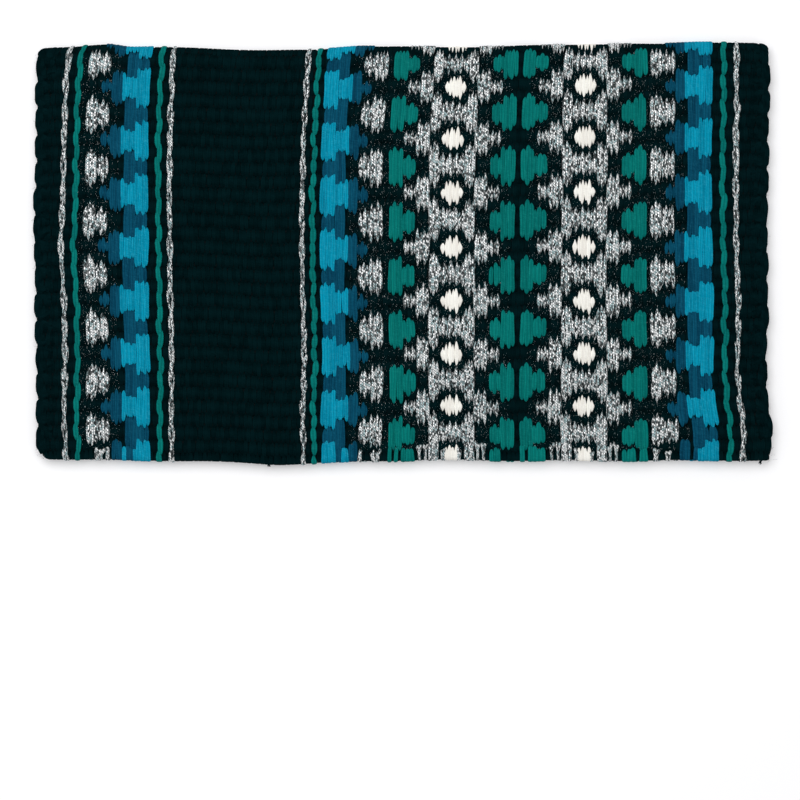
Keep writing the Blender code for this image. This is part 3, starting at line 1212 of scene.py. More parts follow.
def spread_across(left: float, right: float, pitch: float) -> tuple[Array, float]:
    """Places yarns side by side.

    Args:
        left: one edge of the band.
        right: the other edge.
        pitch: the wanted distance between yarns.

    Returns:
        The middles of the yarns, and the distance between them.
    """
    count = max(1, round(abs(right - left) / pitch))
    step = (right - left) / count
    return left + step * (np.arange(count) + 0.5), abs(step)


def motif_centres(row: Row, sizes: ClothSizes) -> Array:
    """The places along of all motifs of a row, over the whole cloth and just past its ends."""
    count = int(sizes.last // sizes.repeat) + 2
    return row.value + sizes.repeat * np.arange(-count, count + 1)


def opposite(row: Row) -> Row:
    """The other row."""
    return Row.BLOCKS if row is Row.DIAMONDS else Row.DIAMONDS


@dataclass(frozen=True)
class Step:
    """One step of a motif: yarns between two places across, each floating over the same ribs.

    At the woven end, a share of its yarns is laid from begin to the edge, in the way of ending.
    """

    left: float
    right: float
    row: Row
    half_rise: float
    ending: Ending = Ending.FLOAT
    begin: float = 30.0
    share: float = 1.0


class Drift:
    """Where the motifs really sit along: packed together at the fold and at the woven end."""

    table = (
        (-2.5, -2.5), (-1.3, -1.0), (-0.7, 0.12), (-0.425, 0.33), (-0.225, 0.39), (0.075, 0.46),
        (0.425, 0.77), (0.8, 1.03), (1.2, 1.3), (1.575, 1.575), (28.6, 28.6), (29.5, 29.50),
        (30.0, 29.88), (30.6, 30.24), (31.0, 30.55), (31.8, 31.7),
    )

    def __init__(self) -> None:
        """Splits the table in its two columns."""
        self.plan, self.place = (np.array(column) for column in zip(*self.table))

    def lay(self, s: Array) -> Array:
        """Moves places of the even plan to where they are woven."""
        return s + np.interp(s, self.plan, self.place - self.plan)

    def plan_of(self, s: Array) -> Array:
        """Finds the place in the even plan that is woven at s."""
        return s + np.interp(s, self.place, self.plan - self.place)


@dataclass
class Column:
    """A column of motifs in one yarn, as a list of steps.

    One that is partnered has another column between its motifs, so that its inner face shows the
    same steps half a repeat on. shift is how far the column lies along, in ribs; one that
    settles loses it at the woven end. margin is how far under a float is well under it.
    """

    name: str
    yarn: Yarn
    steps: list[Step]
    pitch: float = 0.0048
    tooth: float = 0.16
    fullness: float = 0.66
    shape: str = "wool"
    partnered: bool = False
    shift: float = 0.0
    settles: bool = False
    drift: Drift = field(default_factory=Drift)
    end_spread: float = 0.055
    place_spread: float = 0.00016
    lean_spread: float = 0.00012
    least_rise: float = 0.15
    reverse_gap: float = 0.12
    margin: float = 0.30

    def runs(self, sizes: ClothSizes, face: Face, chance: np.random.Generator) -> Runs:
        """Works out every float of the column on one face.

        A float reaches half_rise ribs to either side of its motif's centre; neighbours end a
        tooth earlier or later in turn. The inner face floats where the outer one doesn't.

        Args:
            sizes: the sizes of the cloth.
            face: the face of the cloth.
            chance: source of the small irregularities.

        Returns:
            The runs over the whole cloth.
        """
        made: list[Runs] = []
        for step in self.steps:
            x, pitch = spread_across(step.left, step.right, self.pitch)
            row, rise = step.row, step.half_rise
            if face is Face.INNER:
                row = opposite(row)
                rise = rise if self.partnered else sizes.repeat / 2 - rise - self.reverse_gap
            if min(rise, step.half_rise) < self.least_rise:
                continue
            centres = motif_centres(row, sizes)
            if step.ending is not Ending.FLOAT and face is Face.OUTER:
                centres = centres[np.abs(centres) < sizes.ribs]
            across, along = (grid.ravel() for grid in np.meshgrid(x, centres, indexing="ij"))
            turn = np.repeat(np.arange(len(x)) % 2 * 2 - 1, len(centres))
            reach = np.minimum(self.tooth, 0.35 * rise)
            ends = rise + turn * reach / 2 + chance.normal(0.0, self.end_spread, (2, across.size))
            across = across + chance.normal(0.0, self.place_spread, across.size)
            lean = chance.normal(0.0, self.lean_spread, across.size)
            start, stop = along - ends[0], along + ends[1]
            if face is Face.OUTER:
                start, stop = (self.drift.lay(s + self.shift_at(s)) for s in (start, stop))
            made.append(Runs.of(across, start, stop, pitch * self.fullness, lean))
        return reduce(Runs.plus, made)

    def shift_at(self, s: Array) -> Array:
        """How much further along the column lies at places of the even plan."""
        return self.shift * (1.0 - self.settles * smooth_step((s - 26.6) / 1.2))

    def covers(self, x: Array, s: Array, sizes: ClothSizes) -> Array:
        """Whether places are well under this column's floats on the outer face."""
        hidden = np.zeros(np.broadcast(x, s).shape, dtype=bool)
        plan = self.drift.plan_of(s)
        plan = plan - self.shift_at(plan)
        for step in self.steps:
            low, high = sorted((step.left, step.right))
            off = (plan - step.row.value + sizes.repeat / 2) % sizes.repeat - sizes.repeat / 2
            under = (x > low) & (x < high) & (np.abs(off) < step.half_rise - self.margin)
            if step.ending is not Ending.FLOAT:
                under &= np.abs(plan - off) < sizes.ribs
            hidden |= under
        return hidden


@dataclass
class Stripe:
    """A plain warp stripe: its yarns rise over every other rib in turn, and so overlap."""

    name: str
    yarn: Yarn
    left: float
    right: float
    count: int
    half_width: float
    swing: float
    reach: float
    lean: float
    unevenness: float = 0.06
    place_spread: float = 0.00025
    end_spread: float = 0.06
    lean_spread: float = 0.0003
    stagger: float = 0.35
    margin: float = 0.0022

    def runs(self, sizes: ClothSizes, face: Face, chance: np.random.Generator) -> Runs:
        """Works out every float of the stripe on one face.

        Each visible yarn of a rib moves to the left or right by the swing, in turn from rib to
        rib and from yarn to yarn, and leans back towards the next one.

        Args:
            sizes: the sizes of the cloth.
            face: the face of the cloth.
            chance: source of the small irregularities.

        Returns:
            The runs over the whole cloth.
        """
        step = (self.right - self.left) / self.count
        x = self.left + step * (np.arange(self.count) + 0.5)
        ribs = np.arange(-sizes.ribs - 1, sizes.ribs + 2)
        grids = np.meshgrid(np.arange(self.count), ribs, indexing="ij")
        number, along = (grid.ravel() for grid in grids)
        many = number.size
        turn = np.where((along + number) % 2 == (face is Face.INNER), 1.0, -1.0)
        across = x[number] + turn * self.swing + chance.normal(0.0, self.place_spread, many)
        reach = self.reach + chance.normal(0.0, self.end_spread, (2, many))
        lean = -turn * self.lean + chance.normal(0.0, self.lean_spread, many)
        wide = self.half_width * (1.0 + chance.normal(0.0, self.unevenness, many))
        centre = along + (number % 2) * self.stagger
        return Runs.of(across, centre - reach[0], centre + reach[1], wide, lean)

    def covers(self, x: Array, s: Array, sizes: ClothSizes) -> Array:
        """Whether places are well under this stripe."""
        low, high = self.left + self.margin, self.right - self.margin
        return (x > low) & (x < high) & (np.abs(s) < sizes.wrap)


class Pattern:
    """The stripes and the columns of motifs, laid out across the cloth.

    Places across are shares of the width from the middle, heights are in ribs. rises are the
    whole heights of the motifs' steps, bays those of the petrol columns' inner steps.
    """

    rises = {"tall": 2.85, "long": 1.85, "short": 1.55, "step": 2.15, "tip": 0.72}
    bays = (3.16, 1.62)
    stripe_shares = {
        "silver_pinstripe_1": (Yarn.SILVER, -0.4649, -0.4571),
        "teal_stripe_1": (Yarn.TEAL, -0.4484, -0.4396),
        "teal_stripe_2": (Yarn.TEAL, -0.3341, -0.3261),
        "silver_pinstripe_2": (Yarn.SILVER, -0.3185, -0.3111),
        "silver_pinstripe_3": (Yarn.SILVER, -0.1376, -0.1300),
        "teal_stripe_3": (Yarn.TEAL, -0.1248, -0.1138),
        "teal_stripe_4": (Yarn.TEAL, 0.4371, 0.4459),
        "silver_pinstripe_4": (Yarn.SILVER, 0.4554, 0.4632),
    }
    # The yarns of the stripes, as Stripe has them from count on: of each kind, and of those
    # stripes that differ from their kind.
    stripe_yarns = {
        "silver_pinstripe": (2, 0.0017, 0.0006, 0.74, 0.0010, 0.17),
        "silver_pinstripe_3": (2, 0.0017, 0.0006, 0.64, 0.0010, 0.17),
        "teal_stripe": (1, 0.0033, 0.0010, 0.72, 0.0008),
        "teal_stripe_3": (1, 0.0036, 0.0007, 0.62, 0.0010),
        "teal_stripe_4": (1, 0.0035, 0.0009, 0.70, 0.0012),
    }
    pinstripe_half_width = 0.0025
    block_shares = {
        "silver_blocks_1": (Yarn.SILVER, Row.BLOCKS, "long", (-0.4316, -0.4160, -0.4004)),
        "turquoise_blocks_1": (Yarn.TURQUOISE, Row.DIAMONDS, "short", (-0.3446, -0.3629, -0.3828)),
        "turquoise_blocks_2": (Yarn.TURQUOISE, Row.DIAMONDS, "short", (-0.1090, -0.0902, -0.0722)),
        "silver_blocks_2": (Yarn.SILVER, Row.BLOCKS, "long", (-0.0264, -0.0431, -0.0578)),
        "teal_blocks_1": (Yarn.TEAL, Row.BLOCKS, "short", (-0.0172, 0.0007, 0.0174)),
        "teal_blocks_2": (Yarn.TEAL, Row.BLOCKS, "short", (0.1528, 0.1346, 0.1200)),
        "teal_blocks_3": (Yarn.TEAL, Row.BLOCKS, "short", (0.1616, 0.1784, 0.1958)),
        "teal_blocks_4": (Yarn.TEAL, Row.BLOCKS, "short", (0.3345, 0.3185, 0.3014)),
        "silver_blocks_3": (Yarn.SILVER, Row.BLOCKS, "long", (0.3403, 0.3554, 0.3728)),
        "turquoise_blocks_3": (Yarn.TURQUOISE, Row.DIAMONDS, "short", (0.4254, 0.4066, 0.3866)),
    }
    # What each yarn's blocks have over the heights of their two steps, and how these end.
    block_steps = {
        Yarn.SILVER: (-0.03, (Ending.PAIR, 30.2, 0.7), 0.08, (Ending.PAIR, 30.2, 0.7)),
        Yarn.TURQUOISE: (0.12, (), 0.20, (Ending.PATCH, 29.95, 0.35)),
        Yarn.TEAL: (-0.08, (Ending.PATCH, 30.0, 0.35), 0.01, (Ending.PATCH, 30.10, 0.85)),
    }
    # The yarns of each kind of column, as Column has them from pitch on.
    column_yarns = {
        Yarn.SILVER: (0.0041, 0.26, 0.62, "silver"),
        Yarn.TURQUOISE: (0.0044, 0.22, 0.66, "over", True),
        Yarn.TEAL: (0.0044, 0.22),
        Yarn.PETROL: (0.0044, 0.18, 0.66, "under", True),
        Yarn.CREAM: (0.0042, 0.20, 0.70, "diamond"),
    }
    full_end = {"turquoise_blocks_2": 0.85}
    petrol_shares = {
        "petrol_floats_1": ("turquoise_blocks_1", (-0.3972, -0.4112)),
        "petrol_floats_2": ("turquoise_blocks_2", (-0.0604, -0.0466)),
        "petrol_floats_3": ("turquoise_blocks_3", (0.3745, 0.3606)),
    }
    petrol_tucks = (0.0018, 0.0042)
    petrol_extras = (0.40, 0.34, 0.20, 0.14)
    lattice_centres = (0.0676, 0.2490)
    lattice_steps = ((0.0308, 0.0479, 1.26, Ending.FORK), (0.0479, 0.0648, 0.54, Ending.GONE))
    lattice_fullness = 0.66
    lattice_begins = {Ending.PATCH: 29.7, Ending.PAIR: 30.2, Ending.FORK: 29.72}
    window_half_rises = (1.15, 0.37)
    window_edges = (0.0178, 0.0308)
    diamond_half_width = 0.0143
    diamond_join = 0.62
    diamond_half_rises = (0.56, 0.90)
    # How far each column lies along, in ribs, and whether it loses this at the woven end.
    shifts = {
        "silver_blocks_1": (0.28, True),
        "turquoise_blocks_1": (0.03, False),
        "petrol_floats_1": (0.16, False),
        "turquoise_blocks_2": (0.15, True),
        "petrol_floats_2": (0.26, False),
        "silver_blocks_2": (0.26, True),
        "teal_blocks_1": (0.26, False),
        "silver_lattice_1": (0.14, False),
        "cream_diamonds_1": (0.18, True),
        "teal_blocks_2": (0.20, False),
        "teal_blocks_3": (0.21, False),
        "silver_lattice_2": (0.15, False),
        "cream_diamonds_2": (0.18, True),
        "teal_blocks_4": (0.30, False),
        "silver_blocks_3": (0.30, True),
        "turquoise_blocks_3": (0.28, True),
        "petrol_floats_3": (0.28, False),
    }

    def __init__(self, sizes: ClothSizes) -> None:
        """Works out all stripes and columns from their shares of the width."""
        self.sizes = sizes
        self.stripes = [self.stripe(name) for name in self.stripe_shares]
        self.columns = self.blocks() + self.petrol() + self.lattices() + self.diamonds()
        for column in self.columns:
            column.shift, column.settles = self.shifts[column.name]

    def stripe(self, name: str) -> Stripe:
        """Works out one stripe: silver ones have two fine yarns, teal ones one thick one."""
        yarn, left, right = self.stripe_shares[name]
        left, right = left * self.sizes.width, right * self.sizes.width
        if yarn is Yarn.SILVER:
            middle = 0.5 * (left + right)
            left, right = middle - self.pinstripe_half_width, middle + self.pinstripe_half_width
        kind = name.rpartition("_")[0]
        yarns = self.stripe_yarns.get(name, self.stripe_yarns[kind])
        return Stripe(name, yarn, left, right, *yarns)

    def blocks(self) -> list[Column]:
        """The columns of two-step blocks."""
        width = self.sizes.width
        made = []
        for name, (yarn, row, low, places) in self.block_shares.items():
            straight, join, outer = (place * width for place in places)
            over, end, short_over, short_end = self.block_steps[yarn]
            if name in self.full_end:
                short_end = (*short_end[:2], self.full_end[name])
            steps = [
                Step(straight, join, row, self.rises["tall"] / 2 + over, *end),
                Step(join, outer, row, self.rises[low] / 2 + short_over, *short_end),
            ]
            made.append(Column(name, yarn, steps, *self.column_yarns[yarn]))
        return made

    def petrol(self) -> list[Column]:
        """The petrol columns that go round the turquoise blocks."""
        width, half = self.sizes.width, self.sizes.repeat / 2
        made = []
        for name, (blocks, (step, tip)) in self.petrol_shares.items():
            straight, join, waist = (p * width for p in self.block_shares[blocks][3])
            step, tip = step * width, tip * width
            way = 1.0 if waist > straight else -1.0
            inner = straight + way * self.petrol_tucks[0]
            outer = waist - way * self.petrol_tucks[1]
            tall, low, wide, narrow = self.petrol_extras
            end = (Ending.PATCH, 29.62, 1.0)
            steps = [
                Step(inner, join, Row.BLOCKS, half - self.bays[0] / 2 + tall),
                Step(join, outer, Row.BLOCKS, half - self.bays[1] / 2 + low),
                Step(join, outer, Row.DIAMONDS, 0.0, Ending.PATCH, 29.95),
                Step(waist, step, Row.DIAMONDS, self.rises["step"] / 2 + wide, *end),
                Step(step, tip, Row.DIAMONDS, self.rises["tip"] / 2 + narrow, Ending.GONE),
            ]
            made.append(Column(name, Yarn.PETROL, steps, *self.column_yarns[Yarn.PETROL]))
        return made

    def lattices(self) -> list[Column]:
        """The open silver lattices."""
        width, half = self.sizes.width, self.sizes.repeat / 2
        near, far = (edge * width for edge in self.window_edges)
        tall, low = self.window_half_rises
        begins = self.lattice_begins
        patch, pair = ((end, begins[end]) for end in (Ending.PATCH, Ending.PAIR))
        made = []
        for number, centre in enumerate(self.lattice_centres, 1):
            middle = centre * width
            steps = [Step(middle - near, middle + near, Row.BLOCKS, half - tall, Ending.GONE)]
            reach = self.diamond_half_width * width
            for side in (-1, 1):
                inner, outer = middle + side * near, middle + side * far
                steps.append(Step(inner, outer, Row.BLOCKS, half - low, *patch))
                beside = middle + side * reach / 2, middle + side * reach
                steps.append(Step(*beside, Row.DIAMONDS, 0.0, *pair))
                for inner, outer, rise, ending in self.lattice_steps:
                    left, right = middle + side * inner * width, middle + side * outer * width
                    begin = begins[Ending.FORK]
                    steps.append(Step(left, right, Row.DIAMONDS, rise, ending, begin))
            pitch, tooth, _, shape = self.column_yarns[Yarn.SILVER]
            name = f"silver_lattice_{number}"
            yarns = (pitch, tooth, self.lattice_fullness, shape)
            made.append(Column(name, Yarn.SILVER, steps, *yarns))
        return made

    def diamonds(self) -> list[Column]:
        """The cream diamonds inside the lattices: four long yarns between two short ones."""
        width = self.sizes.width
        short, tall = self.diamond_half_rises
        made = []
        for number, centre in enumerate(self.lattice_centres, 1):
            middle, reach = centre * width, self.diamond_half_width * width
            join = self.diamond_join * reach
            steps = [
                Step(middle - reach, middle - join, Row.DIAMONDS, short, Ending.GONE),
                Step(middle - join, middle + join, Row.DIAMONDS, tall),
                Step(middle + join, middle + reach, Row.DIAMONDS, short, Ending.GONE),
            ]
            name = f"cream_diamonds_{number}"
            made.append(Column(name, Yarn.CREAM, steps, *self.column_yarns[Yarn.CREAM]))
        return made

    def hidden(self, x: Array, s: Array) -> Array:
        """Whether places on the outer face are well under coloured floats."""
        covered = np.zeros(np.broadcast(x, s).shape, dtype=bool)
        for band in [*self.stripes, *self.columns]:
            covered |= band.covers(x, s, self.sizes)
        return covered


# Sub-assemblies


# The shapes of the coloured floats, as FloatShape has them: rings, points around, taper, tip,
# half height, dive and point.
FLOATS = {
    "wool": FloatShape(12, 8, 0.30, 0.20, 0.00105, 0.0018, 0.52),
    "over": FloatShape(12, 8, 0.32, 0.24, 0.00110, 0.0011, 0.54),
    "under": FloatShape(12, 8, 0.44, 0.16, 0.00100, 0.0018, 0.60),
    "silver": FloatShape(12, 8, 0.52, 0.02, 0.00115, 0.0020, 0.95),
    "diamond": FloatShape(14, 8, 0.62, 0.02, 0.00130, 0.0024, 0.76),
    "stripe": FloatShape(9, 8, 0.42, 0.20, 0.00120, 0.0026, 0.55),
    "inner": FloatShape(6, 4, 0.34, 0.20, 0.00095, 0.0014, 0.6),
    "patch": FloatShape(12, 8, 0.26, 0.25, 0.00105, 0.0020, 0.55),
}


@dataclass
class ColouredFloats:
    """All coloured yarns of the cloth, on both faces and round the fold."""

    weaver: Weaver
    pattern: Pattern
    coarse: tuple[int, int] = (8, 6)
    inner_top: float = 0.0003
    inner_dip: float = 0.0006

    def build(self) -> None:
        """Builds the outer faces, the fold and the inner faces; those below are coarser."""
        weaver, sizes = self.weaver, self.weaver.sizes
        rings, around = self.coarse
        fold: dict[tuple[Section, Yarn], list[Tubes]] = {}
        for band in [*self.pattern.columns, *self.pattern.stripes]:
            shape = FLOATS["stripe" if isinstance(band, Stripe) else band.shape]
            coarse = replace(shape, rings=rings, around=around)
            runs = band.runs(sizes, Face.OUTER, weaver.chance)
            for section in Section:
                part = runs.within(section, sizes.wrap)
                form = coarse if section is Section.LOWER else shape
                tubes = weaver.tubes(part, Face.OUTER, form, sizes.float_top, sizes.float_dip)
                if section.body:
                    name = f"{section.word}_{band.name}"
                    weaver.finish(f"{name}_yarns", [tubes], band.yarn, section, [name])
                else:
                    fold.setdefault((section, band.yarn), []).append(tubes)
        for (section, yarn), tubes in fold.items():
            weaver.finish(f"{section.word}_{yarn.name.lower()}_yarns", tubes, yarn, section)
        self.build_reverse()

    def build_reverse(self) -> None:
        """Builds the coloured yarns of the inner faces, one piece for each yarn and half."""
        weaver, sizes = self.weaver, self.weaver.sizes
        found: dict[tuple[Section, Yarn], list[Tubes]] = {}
        level = (FLOATS["inner"], self.inner_top, self.inner_dip)
        for band in [*self.pattern.columns, *self.pattern.stripes]:
            runs = band.runs(sizes, Face.INNER, weaver.chance)
            for section in HALVES:
                part = runs.inside(section, sizes.last, weaver.cloth.meet(runs.x))
                tubes = weaver.tubes(part, Face.INNER, *level)
                found.setdefault((section, band.yarn), []).append(tubes)
        for (section, yarn), tubes in found.items():
            name = f"{section.word}_reverse_{yarn.name.lower()}_yarns"
            weaver.finish(name, tubes, yarn, section)


@dataclass
class BlackGrain:
    """The black warp: one grain of yarn over each rib, shifted by half a pitch from rib to rib.

    zones are the shares of the width at which it is parted in pieces. A grain is left out where
    coloured floats lie over all its samples, which are places along it in ribs.
    """

    weaver: Weaver
    pattern: Pattern
    edge: float = 0.0075
    zones: tuple[float, ...] = (-0.5, -0.31, -0.13, 0.06, 0.24, 0.5)
    samples: tuple[float, ...] = (-0.48, -0.16, 0.16, 0.48)
    half_length: float = 0.62
    half_width: float = 0.0035
    end_spread: float = 0.04
    place_spread: float = 0.00018
    lean_spread: float = 0.0002
    inner_dip: float = 0.0016
    turned_dip: float = 0.0014
    outer_shape: FloatShape = FloatShape(6, 6, 0.40, 0.46, 0.00120, 0.0018)
    plain_shape: FloatShape = FloatShape(4, 4, 0.40, 0.46, 0.00120, 0.0018)
    turned_shape: FloatShape = FloatShape(12, 6, 0.34, 0.45, 0.0011, 0.0010)

    def runs(self, face: Face) -> Runs:
        """Works out every black grain of one face, without those under coloured floats."""
        sizes, chance = self.weaver.sizes, self.weaver.chance
        outer = face is Face.OUTER
        reach = sizes.width / 2 - self.edge
        columns = int(2 * reach / (sizes.grain_pitch / 2))
        most = sizes.ribs + outer
        ribs = np.arange(-most, most + 1)
        number, rib = (grid.ravel() for grid in np.meshgrid(np.arange(columns), ribs))
        shown = (number + rib) % 2 == (not outer)
        x = -reach + (number[shown] + 0.5) * (2 * reach / columns)
        along = rib[shown].astype(float)
        if outer:
            hidden = [self.pattern.hidden(x, along + off) for off in self.samples]
            free = ~np.all(hidden, axis=0)
            x, along = x[free], along[free]
        jitter = chance.normal(0.0, self.end_spread, (2, len(x)))
        x = x + chance.normal(0.0, self.place_spread, len(x))
        lean = chance.normal(0.0, self.lean_spread, len(x))
        start, stop = along - self.half_length + jitter[0], along + self.half_length + jitter[1]
        return Runs.of(x, start, stop, self.half_width, lean)

    def build(self) -> None:
        """Builds the black grain of both faces, of the fold and of the turned ends."""
        weaver, sizes = self.weaver, self.weaver.sizes
        runs = self.runs(Face.OUTER)
        for section in Section:
            part = runs.within(section, sizes.wrap)
            turned = 0.5 * np.abs(part.first + part.last) > sizes.last
            if section.body:
                level = (self.turned_shape, sizes.crest, self.turned_dip)
                tubes = weaver.tubes(part.pick(turned), Face.OUTER, *level)
                name = f"{section.word}_end_finish"
                weaver.finish(f"{name}_yarns", [tubes], Yarn.BLACK, section, [name])
            self.build_zones(part.pick(~turned), Face.OUTER, section)
        runs = self.runs(Face.INNER)
        for section in HALVES:
            part = runs.inside(section, sizes.last, weaver.cloth.meet(runs.x))
            self.build_zones(part, Face.INNER, section)

    def build_zones(self, part: Runs, face: Face, section: Section) -> None:
        """Builds the grain of one face of one section in pieces from left to right."""
        weaver, sizes = self.weaver, self.weaver.sizes
        shape = self.plain_shape
        if face is Face.INNER:
            side, level, dip = "reverse_grain", sizes.inner_crest, self.inner_dip
        else:
            side, level, dip = "grain", sizes.crest, sizes.crest - sizes.valley
            shape = shape if section is Section.LOWER else self.outer_shape
        edges = [share * sizes.width for share in self.zones]
        for number, (low, high) in enumerate(zip(edges, edges[1:]), 1):
            zone = part.pick((part.x >= low) & (part.x < high))
            tubes = weaver.tubes(zone, face, shape, level, dip)
            name = f"{section.word}_black_{side}_{number}"
            weaver.finish(name, [tubes], Yarn.BLACK, section)


@dataclass
class GroundSheet:
    """The ribbed ground under the yarns of one half, or of a quarter of the fold."""

    weaver: Weaver
    section: Section
    inset: float = 0.0070
    sunk: float = 0.0013
    inner_sunk: float = 0.0009
    fold_gap: float = 0.0002
    across: int = 40
    per_rib: int = 8

    def build(self) -> None:
        """Builds the sheet as a closed shell of two ribbed faces."""
        weaver, sizes, section = self.weaver, self.weaver.sizes, self.section
        cloth, way = weaver.cloth, section.way
        if section.body:
            s = way * (0.5 + np.arange(sizes.ribs * self.per_rib + 4) / self.per_rib)
        else:
            s = way * np.arange(self.per_rib + 1) / (2 * self.per_rib)
        reach = sizes.width / 2 - self.inset
        x = np.linspace(-reach, reach, self.across + 1)[None, :]
        s = np.broadcast_to(s[:, None], (len(s), self.across + 1))
        outer = sizes.valley + (sizes.crest - sizes.valley) * cloth.arch(s) - self.sunk
        top = cloth.lay(x, s, outer)
        inner = np.full(s.shape, sizes.hollow + self.fold_gap)
        if section.body:
            s = s + way * (cloth.meet(x) - 0.5) * np.clip(1.5 - np.abs(s), 0.0, 1.0)
            drop = sizes.inner_valley - sizes.inner_crest
            inner = sizes.inner_valley - drop * cloth.arch(s) + self.inner_sunk
        skin = self.shell(top, cloth.lay(x, s, inner), way > 0)
        nodes = {Section.FOLD_UPPER: ["fold_ground_weave"], Section.FOLD_LOWER: []}
        stands_for = nodes.get(section, [f"{section.word}_ground_weave"])
        name = f"{section.word}_ground_sheet"
        ground = weaver.wardrobe.ground
        piece = weaver.piece(name, skin, ground, Yarn.BLACK, section, stands_for)

    def shell(self, outer: Array, inner: Array, upright: bool) -> Skin:
        """Joins two grids of places to a closed shell.

        Args:
            outer: the outer face, rows along and columns across.
            inner: the inner face, in the same order.
            upright: whether rows run from +Y to -Y on an outer face that looks up.

        Returns:
            The shell, with faces that look outwards.
        """
        rows, columns, _ = outer.shape
        points = np.concatenate([outer.reshape(-1, 3), inner.reshape(-1, 3)])
        top = np.arange(rows * columns).reshape(rows, columns)
        low = top + rows * columns
        quads = np.concatenate(
            [
                rows_of(4, top[:-1, :-1], top[1:, :-1], top[1:, 1:], top[:-1, 1:]),
                rows_of(4, low[:-1, :-1], low[:-1, 1:], low[1:, 1:], low[1:, :-1]),
                rows_of(4, top[:-1, 0], low[:-1, 0], low[1:, 0], top[1:, 0]),
                rows_of(4, top[:-1, -1], top[1:, -1], low[1:, -1], low[:-1, -1]),
                rows_of(4, top[0, :-1], top[0, 1:], low[0, 1:], low[0, :-1]),
                rows_of(4, top[-1, :-1], low[-1, :-1], low[-1, 1:], top[-1, 1:]),
            ]
        )
        return Skin(points, quads if upright else quads[:, ::-1])


@dataclass
class Selvedge:
    """One side edge of one half: the thick weft cord turns back once for every two ribs."""

    weaver: Weaver
    section: Section
    side: int
    half_width: float = 0.0042
    half_height: float = 0.0038
    bulge: float = 0.0026
    over: float = 0.0014
    filler: float = 0.0026
    half_turn: float = 0.74
    leg: float = 0.014
    leg_share: float = 0.34
    rings: int = 30
    around: int = 15
    last_gap: float = 0.4
    bow: tuple[float, float] = (0.90, 0.80)
    place_mean: float = -0.0003
    place_spread: float = 0.0006
    filler_rings_per_rib: int = 5
    filler_start: float = 0.55
    filler_past: float = 0.62
    filler_wave: float = 0.0005
    filler_sway: float = 0.0002
    filler_taper: float = 0.0034
    filler_taper_reach: float = 0.9

    def build(self) -> None:
        """Builds the turns of the cord, three plies twisted together.

        The middle line of a turn is a flat superellipse, longer along the edge than the two ribs
        that it joins are apart; its legs then draw together over the rib middles as they run
        back into the cloth.
        """
        weaver, sizes = self.weaver, self.weaver.sizes
        phase = 0.0 if self.side < 0 else 1.0
        turns = np.arange(0, sizes.ribs // 2 + 1) * 2.0 + 1.0 + phase
        turns = turns[turns <= sizes.ribs - self.last_gap] + 0.5
        way = self.section.way
        t = np.linspace(-1.0, 1.0, self.rings)
        bent = np.clip(np.abs(t) / (1 - self.leg_share), 0.0, 1.0) * math.pi / 2
        back = np.clip(np.abs(t) - (1 - self.leg_share), 0.0, None) / self.leg_share
        out = np.cos(bent) ** self.bow[0] * self.bulge - back * self.leg
        close = self.half_turn + (0.5 - self.half_turn) * smooth_step(back)
        swing = np.sign(t) * np.sin(bent) ** self.bow[1] * close
        edge = sizes.width / 2 + self.over - self.half_width
        across = self.side * (edge - self.bulge + out)
        s = way * (turns[:, None] + swing[None, :])
        across = np.broadcast_to(across, s.shape)
        centre = weaver.cloth.lay(across, s, np.full(s.shape, sizes.middle))
        off = weaver.chance.normal(self.place_mean, self.place_spread, (len(turns), 1))
        centre[:, :, 0] += self.side * off
        name = f"{self.section.word}_{'left' if self.side < 0 else 'right'}_selvedge"
        cords = PliedCord(weaver, self.half_width, self.half_height, self.around)
        cords.build(f"{name}_cord", centre, UP, self.section, [name])
        stop, rings = sizes.ribs + self.filler_past, sizes.ribs * self.filler_rings_per_rib
        s = np.linspace(self.filler_start, stop, rings)
        wave = self.filler_wave * np.cos((s - phase) * math.pi)
        wave = wave + self.filler_sway * np.sin(s * 5.3)
        wave = wave - self.filler_taper * smooth_step((s - sizes.ribs) / self.filler_taper_reach)
        across = self.side * (edge - self.filler + wave)
        line = weaver.cloth.lay(across, way * s, np.full_like(s, sizes.middle))[None]
        cords.build(f"{name}_filler", line, UP, self.section)


@dataclass
class PliedCord:
    """A thick cord of three plies twisted together."""

    weaver: Weaver
    half_width: float
    half_height: float
    around: int = 15
    twist: float = 0.42

    def build(
        self, name: str, centre: Array, up: Array, section: Section, nodes: Iterable[str] = ()
    ) -> None:
        """Sweeps the plied section along middle lines.

        The section's radius rises and falls three times round, as |sin(1.5 angle + twist)|, and
        this turns along the cord.

        Args:
            name: the piece's name.
            centre: the middle lines (cord, ring, 3).
            up: the direction of the cord's height.
            section: the stretch of the cloth that it belongs to.
            nodes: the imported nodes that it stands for.
        """
        weaver, around = self.weaver, self.around
        count, rings, _ = centre.shape
        run = unit(np.gradient(centre, axis=1))
        side = unit(np.cross(np.broadcast_to(up, run.shape), run))
        shade = weaver.chance.random(count)
        wide = np.full((count, rings), self.half_width)
        high = np.full((count, rings), self.half_height)
        skin = Tubes(centre, wide, high, side, shade, around).skin()
        block = skin.points.reshape(count, rings * around + 2, 3)
        swept = block[:, : rings * around].reshape(count, rings, around, 3)
        angle = np.arange(around) * math.tau / around
        turned = np.arange(rings)[None, :, None] * self.twist + shade[:, None, None] * math.tau
        swell = 0.90 + 0.13 * np.abs(np.sin(1.5 * angle[None, None, :] + turned))
        middle = centre[:, :, None, :]
        swept = middle + (swept - middle) * swell[..., None]
        block[:, : rings * around] = swept.reshape(count, -1, 3)
        skin.points = block.reshape(-1, 3)
        material = weaver.wardrobe.yarns[Yarn.BLACK]
        weaver.piece(name, skin, material, Yarn.BLACK, section, nodes)


